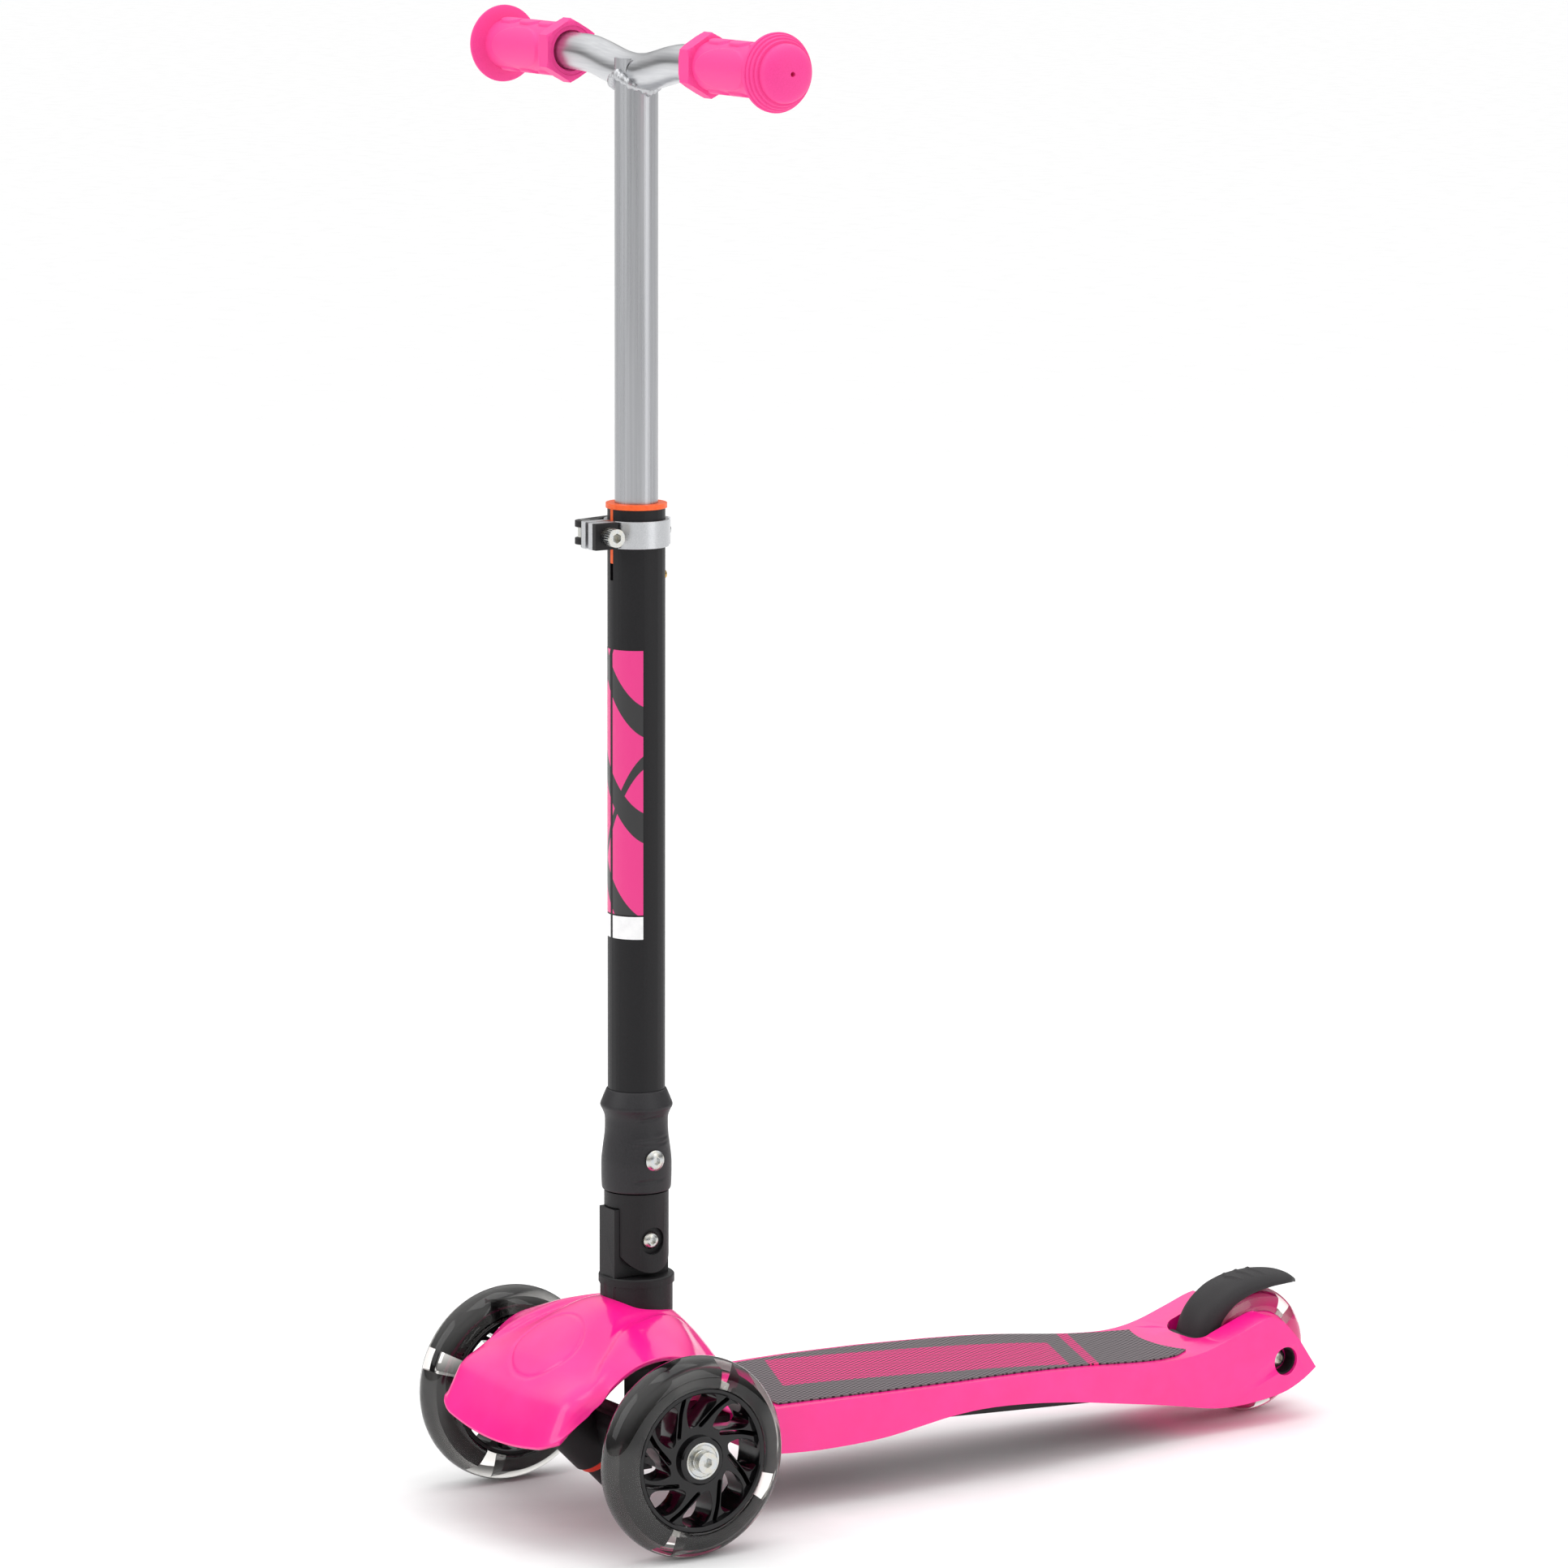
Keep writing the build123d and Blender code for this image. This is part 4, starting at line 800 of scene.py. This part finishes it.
def dome_profile():
    """The flange, four steps and the dome, as (along, radius) points."""
    points = [(BODY_END, 14.5), (BODY_END + 1.0, 18.0), (BODY_END + 1.6, 21.6), (BODY_END + 2.4, 22.7)]
    radius, x = 22.8, BODY_END + 3.6
    for drop in (1.1, 1.3, 1.6, 2.0):
        points += [(x, radius), (x + 0.7, radius - 0.35), (x + 0.9, radius - drop + 0.1),
                   (x + 1.2, radius - drop)]
        radius -= drop
        x += 2.1
    points += [(x + (GRIP_END - 0.2 - x) * math.sin(t), 1.5 + (radius - 1.5) * math.cos(t))
               for t in (math.pi / 2 * k / 14 for k in range(15))]
    return points + [(GRIP_END - 1.2, 1.35), (GRIP_END - 10, 1.35), (GRIP_END - 11, 11.1)]


def grip(sign):
    profile = [(GRIP_START + 3, 11.1), (GRIP_START + 2.6, 11.9), (GRIP_START + 0.6, 12.1),
               (GRIP_START + 0.5, 14.2), (GRIP_START, 14.6)]
    profile += [(GRIP_START + 0.1 + 0.6 * k, 16) for k in range(int((BODY_END - GRIP_START) / 0.6))]
    profile += dome_profile()
    profile += [(GRIP_START + 3, 11.1)]
    bm = turned(profile, "X", 120)
    for vert in bm.verts:
        x = vert.co.x * 1000
        spread = math.hypot(vert.co.y, vert.co.z)
        if GRIP_START < x < BODY_END and abs(spread - mm(16)) < mm(0.01):
            angle = math.atan2(vert.co.z, vert.co.y)
            radius = collar_radius(x, angle) if x < COLLAR_END else body_radius(x, angle)
            vert.co.y, vert.co.z = mm(radius) * math.cos(angle), mm(radius) * math.sin(angle)
    if sign < 0:
        bmesh.ops.rotate(bm, verts=bm.verts, cent=(0, 0, 0), matrix=Matrix.Rotation(math.pi, 3, "Z"))
    bmesh.ops.translate(bm, verts=bm.verts, vec=Vector((0, COLUMN.y, GRIP.z)))
    return bm


keep(grip(1), "left_grip", "tbar", rubber_pink, "grip_left", angle=40)
keep(grip(-1), "right_grip", "tbar", rubber_pink, "grip_right", angle=40)

# %% [markdown]
# ## The release sleeve
# The sleeve is a turned form with a flared rim, a waist and a belly, and it has shallow finger
# grooves on both sides.  Each groove is a short dent that fades out around the sleeve.

# %% Sleeve form
sleeve_low, sleeve_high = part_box("release_sleeve")
SLEEVE = [(0, 20.1), (0.8, 20.5), (6, 20.8), (12, 20.9), (18, 20.8), (26, 19.9), (33, 19.0), (39, 18.7),
          (44, 18.9),
          (47.5, 20.1), (49.8, 21.3), (50.8, 21.5), (52, 21.2), (60, 17.9), (60.5, 17.4)]
outer = [along([(z, r) for z, r in SLEEVE], 60.5 * k / 120)[0] for k in range(121)]
sleeve = turned([(0, 17.3)] + [(60.5 * k / 120, r) for k, r in enumerate(outer)] + [(60.5, 17.3), (0, 17.3)],
                "Z", 96)
for vert in sleeve.verts:
    radius = math.hypot(vert.co.x, vert.co.y)
    if radius < mm(17.8):
        continue
    angle = math.degrees(math.atan2(vert.co.y, abs(vert.co.x)))
    height = vert.co.z * 1000
    dent = 0.0
    for level, reach, shift in ((44.5, 26, 4), (32, 42, 0), (29.0, 40, 2), (7.5, 32, 8)):
        gap = (angle + shift) / reach
        dent = max(dent, 0.75 * math.exp(-((height - level - 0.8 * gap) / 0.9) ** 2) * max(0, 1 - gap * gap))
    swell = 0.9 * math.exp(-((height - 30.5) / 4.5) ** 2) * max(0, 1 - (angle / 50) ** 2)
    scale = (radius - mm(dent) + mm(swell)) / radius
    vert.co.x *= scale
    vert.co.y *= scale
bmesh.ops.translate(sleeve, verts=sleeve.verts, vec=Vector((0, COLUMN.y, sleeve_low[2])))
keep(sleeve, "sleeve", "sleeve", sleeve_black, "release_sleeve", angle=50)

# %% [markdown]
# ## The brake fender
# The fender is a domed tongue that bends up and back over the wheel.  Its middle line is a curve, and
# across that line it is a soft dome, a crease and a skirt.  The skirt shrinks and the tongue narrows to its
# round tip.  Three slanted ridges stand on the flattest part, where the foot goes.

# %% Fender sections
# Each station: its place along, then y, z, half width and the skirt's depth.
FENDER = [(0, 428.5, 46, 16.9, 7), (1, 430.5, 56, 16.9, 7), (2, 433.5, 64.8, 16.9, 7),
          (3, 438.4, 72.6, 16.9, 6.6), (4, 445.2, 79.2, 16.9, 6.2), (5, 454.4, 85, 16.9, 5.6),
          (6, 466.2, 88.8, 16.9, 4.8),
          (7, 477.5, 90.2, 16.7, 3.8), (8, 488.4, 90.2, 16.0, 3), (9, 499.7, 88.6, 14.2, 2.2),
          (10, 507.8, 85.6, 11, 1.4), (11, 514.0, 81.6, 5.5, 0.8)]
BRAKE_HINGE = (431, 49)
FENDER_WALL = 2.2
# Across, from the middle to the edge: part of the half width, the drop in millimetres, part of the skirt.
FENDER_ACROSS = [(0, 0, 0, 0), (0.35, 0.35, 0.5, 0), (0.6, 0.64, 2.0, 0), (0.74, 0.82, 3.8, 0.02),
                 (0.82, 0.94, 5.4, 0.16), (0.9, 0.99, 5.8, 0.52), (1, 1, 5.8, 1)]


def fender_point(across, way):
    y, z, half, skirt = along(FENDER, way)
    ahead, behind = along(FENDER, min(way + 0.05, 11)), along(FENDER, max(way - 0.05, 0))
    tangent = Vector((ahead[0] - behind[0], ahead[1] - behind[1])).normalized()
    part, drop, share = along([(-0.35, -0.35, 0.5, 0)] + FENDER_ACROSS, abs(across))
    x = half * part
    ridge = 0.0
    for start in (462.5, 471.5, 480.5):
        ridge = max(ridge, 0.9 * math.exp(-((y - start - 0.45 * x) / 1.3) ** 2) * max(0, 1 - (x / 10.5) ** 4))
    down = drop * half / 17 + skirt * share - ridge
    return place(math.copysign(x, across), y + tangent.y * down, z - tangent.x * down)


fender = bmesh.new()
bmesh.ops.create_grid(fender, x_segments=110, y_segments=170, size=1.0)
for vert in fender.verts:
    vert.co = fender_point(vert.co.x, 11 * min(1.0, max(0.0, (vert.co.y + 1) / 2)))
fender_piece = keep(fender, "fender", "brake", fender_black, "brake_fender", angle=60)
modify(fender_piece, "SOLIDIFY", thickness=mm(FENDER_WALL), offset=-1.0)
boss = turned([(-15.2, 2.1), (-15.2, 5.6), (-14.8, 6.0), (14.8, 6.0), (15.2, 5.6), (15.2, 2.1),
               (-15.2, 2.1)], "X", 48, centre=place(0, *BRAKE_HINGE))
keep(boss, "fender_boss", "brake", fender_black, angle=40)
low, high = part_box("brake_fender")
print("fender's box:", [round(v * 1000, 1) for v in (*low, *high)])

# %% [markdown]
# ## The handlebar and its weld
# The handlebar is a tube bent to a shallow V.  The weld that joins it to the upright is a row of frozen
# ripples.
# A smooth curve with a round bevel makes the tube, and the weld is a ring laid on the saddle line
# where the two tubes meet, made uneven.

# %% Bent tube
bar_low, bar_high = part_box("handlebar")
DIP = (GRIP.z - (bar_low[2] + mm(11))) * 1000
path = bpy.data.curves.new("bar", "CURVE")
path.dimensions = "3D"
path.bevel_depth = mm(11)
path.bevel_resolution = 10
path.resolution_u = 10
path.use_fill_caps = True
spline = path.splines.new("NURBS")
bends = [(-154, 0), (-110, 0), (-76, 0), (-58, 0), (-44, -0.6), (-18, -DIP), (0, -DIP * 1.22), (18, -DIP),
         (44, -0.6), (58, 0), (76, 0), (110, 0), (154, 0)]
spline.points.add(len(bends) - 1)
for point, (x, z) in zip(spline.points, bends):
    point.co = (mm(x), COLUMN.y, GRIP.z + mm(z), 1)
spline.use_endpoint_u = True
spline.order_u = 4
holder = bpy.data.objects.new("bar", path)
bpy.context.scene.collection.objects.link(holder)
tube_mesh = bpy.data.meshes.new_from_object(holder)
bpy.data.objects.remove(holder)
tube = bmesh.new()
tube.from_mesh(tube_mesh)
keep(tube, "bent_bar", "tbar", alu_bent, "handlebar", angle=60)

# %% Weld
weld = bmesh.new()
bmesh.ops.create_circle(weld, segments=16, radius=mm(2.9), matrix=Matrix.Translation((mm(13.2), 0, 0))
                        @ Matrix.Rotation(math.pi / 2, 4, "X"))
bmesh.ops.spin(weld, geom=weld.verts[:] + weld.edges[:], axis=(0, 0, 1), cent=(0, 0, 0), angle=math.tau,
               steps=140, use_merge=True)
for vert in weld.verts:
    angle = math.atan2(vert.co.y, vert.co.x)
    centre = Vector((mm(13.2) * math.cos(angle), mm(13.2) * math.sin(angle), 0))
    ripple = 1 + 0.16 * math.cos(angle * 22) + 0.2 * math.sin(angle * 5 + 1) + 0.14 * math.sin(angle * 9 + 2)
    vert.co = centre + (vert.co - centre) * ripple
    # the saddle: the weld drops where the bar's side comes down beside the upright
    vert.co.z += mm(11) * math.cos(math.asin(0.98 * abs(math.sin(angle))))
bmesh.ops.scale(weld, verts=weld.verts, vec=(1, 1, -1))
bmesh.ops.translate(weld, verts=weld.verts, vec=Vector((0, COLUMN.y, bar_low[2] + mm(11.5))))
keep(weld, "weld", "tbar", alu_weld, "weld_bead", angle=60)

# %% [markdown]
# ## The other parts
# These parts have the right form already.  Each gets its finish and rounded edges.

# %% Finishes for the engineering model's parts
PARTS = {
    "deck": (abs_pink, 3.0), "grip_mat": (mat_rubber, 0.3), "belly_plate": (nylon_black, 0.6),
    "deck_screws": (zinc, 0.15), "neck_knuckle": (nylon_black, 0.8), "truck_mount": (nylon_black, 0.8),
    "kingpin": (zinc, 0.2), "kingpin_nut": (zinc, 0.3), "brake_pin": (zinc, 0.2),
    "rear_axle_bolt": (zinc, 0.3), "rear_axle_nut": (zinc, 0.3), "rear_axle_spacers": (zinc, 0.2),
    "rear_axle_cups": (nylon_black, 0.2), "truck_hanger": (nylon_black, 1.0),
    "steering_bumpers": (elastomer_red, 0.8), "front_axle_bolts": (zinc, 0.4),
    "front_axle_washers": (zinc, 0.2), "left_bearings": (zinc, 0.15), "right_bearings": (zinc, 0.15),
    "rear_bearings": (zinc, 0.15), "left_lights": (acrylic_white, 0.5),
    "right_lights": (acrylic_white, 0.5), "rear_lights": (acrylic_white, 0.5),
    "brake_spring": (zinc, 0), "upper_knuckle": (nylon_black, 0.8), "stem_tube": (coat_black, 0.3),
    "reducer_bushing": (acetal_orange, 0.4), "clamp_band": (alu_cast, 0.6), "clamp_bolt": (zinc, 0.2),
    "clamp_washer": (nylon_black, 0.6), "clamp_rear_screw": (zinc, 0.2),
    "clamp_lever": (nylon_black, 0.7), "lever_barrel": (zinc, 0.3), "stem_decals": (film_pink, 0),
    "stem_labels": (film_white, 0), "fold_bolt": (zinc, 0.2), "fold_nut": (zinc, 0.3),
    "sleeve_bolt": (zinc, 0.2), "lock_plunger": (zinc, 0.3), "lock_spring": (zinc, 0),
    "bar_tube": (alu_drawn, 0.3), "bar_end_bushing": (nylon_black, 0.3), "button_spring": (zinc, 0.1),
    "height_button": (brass, 0.3),
}
for node, (material, edge) in PARTS.items():
    copied(node, material, edge)
print(len(PARTS), "parts finished")

# %% Bring the deck's slot up to the fender
# The round front end of the slot is squeezed towards the hinge, so only a thin dark gap is left.
SLOT_FRONT, SLOT_STRAIGHT, SLOT_REACH, SLOT_SHIFT = 418.5, 436, 21, 8.0
for vert in bpy.data.meshes["deck_part"].vertices:
    behind = (vert.co.y - AXLE.y) * 1000
    if abs(vert.co.x) < mm(SLOT_REACH) and SLOT_FRONT < behind < SLOT_STRAIGHT:
        vert.co.y += mm(SLOT_SHIFT) * (SLOT_STRAIGHT - behind) / (SLOT_STRAIGHT - SLOT_FRONT)
print("slot moved by", SLOT_SHIFT, "mm at its front")
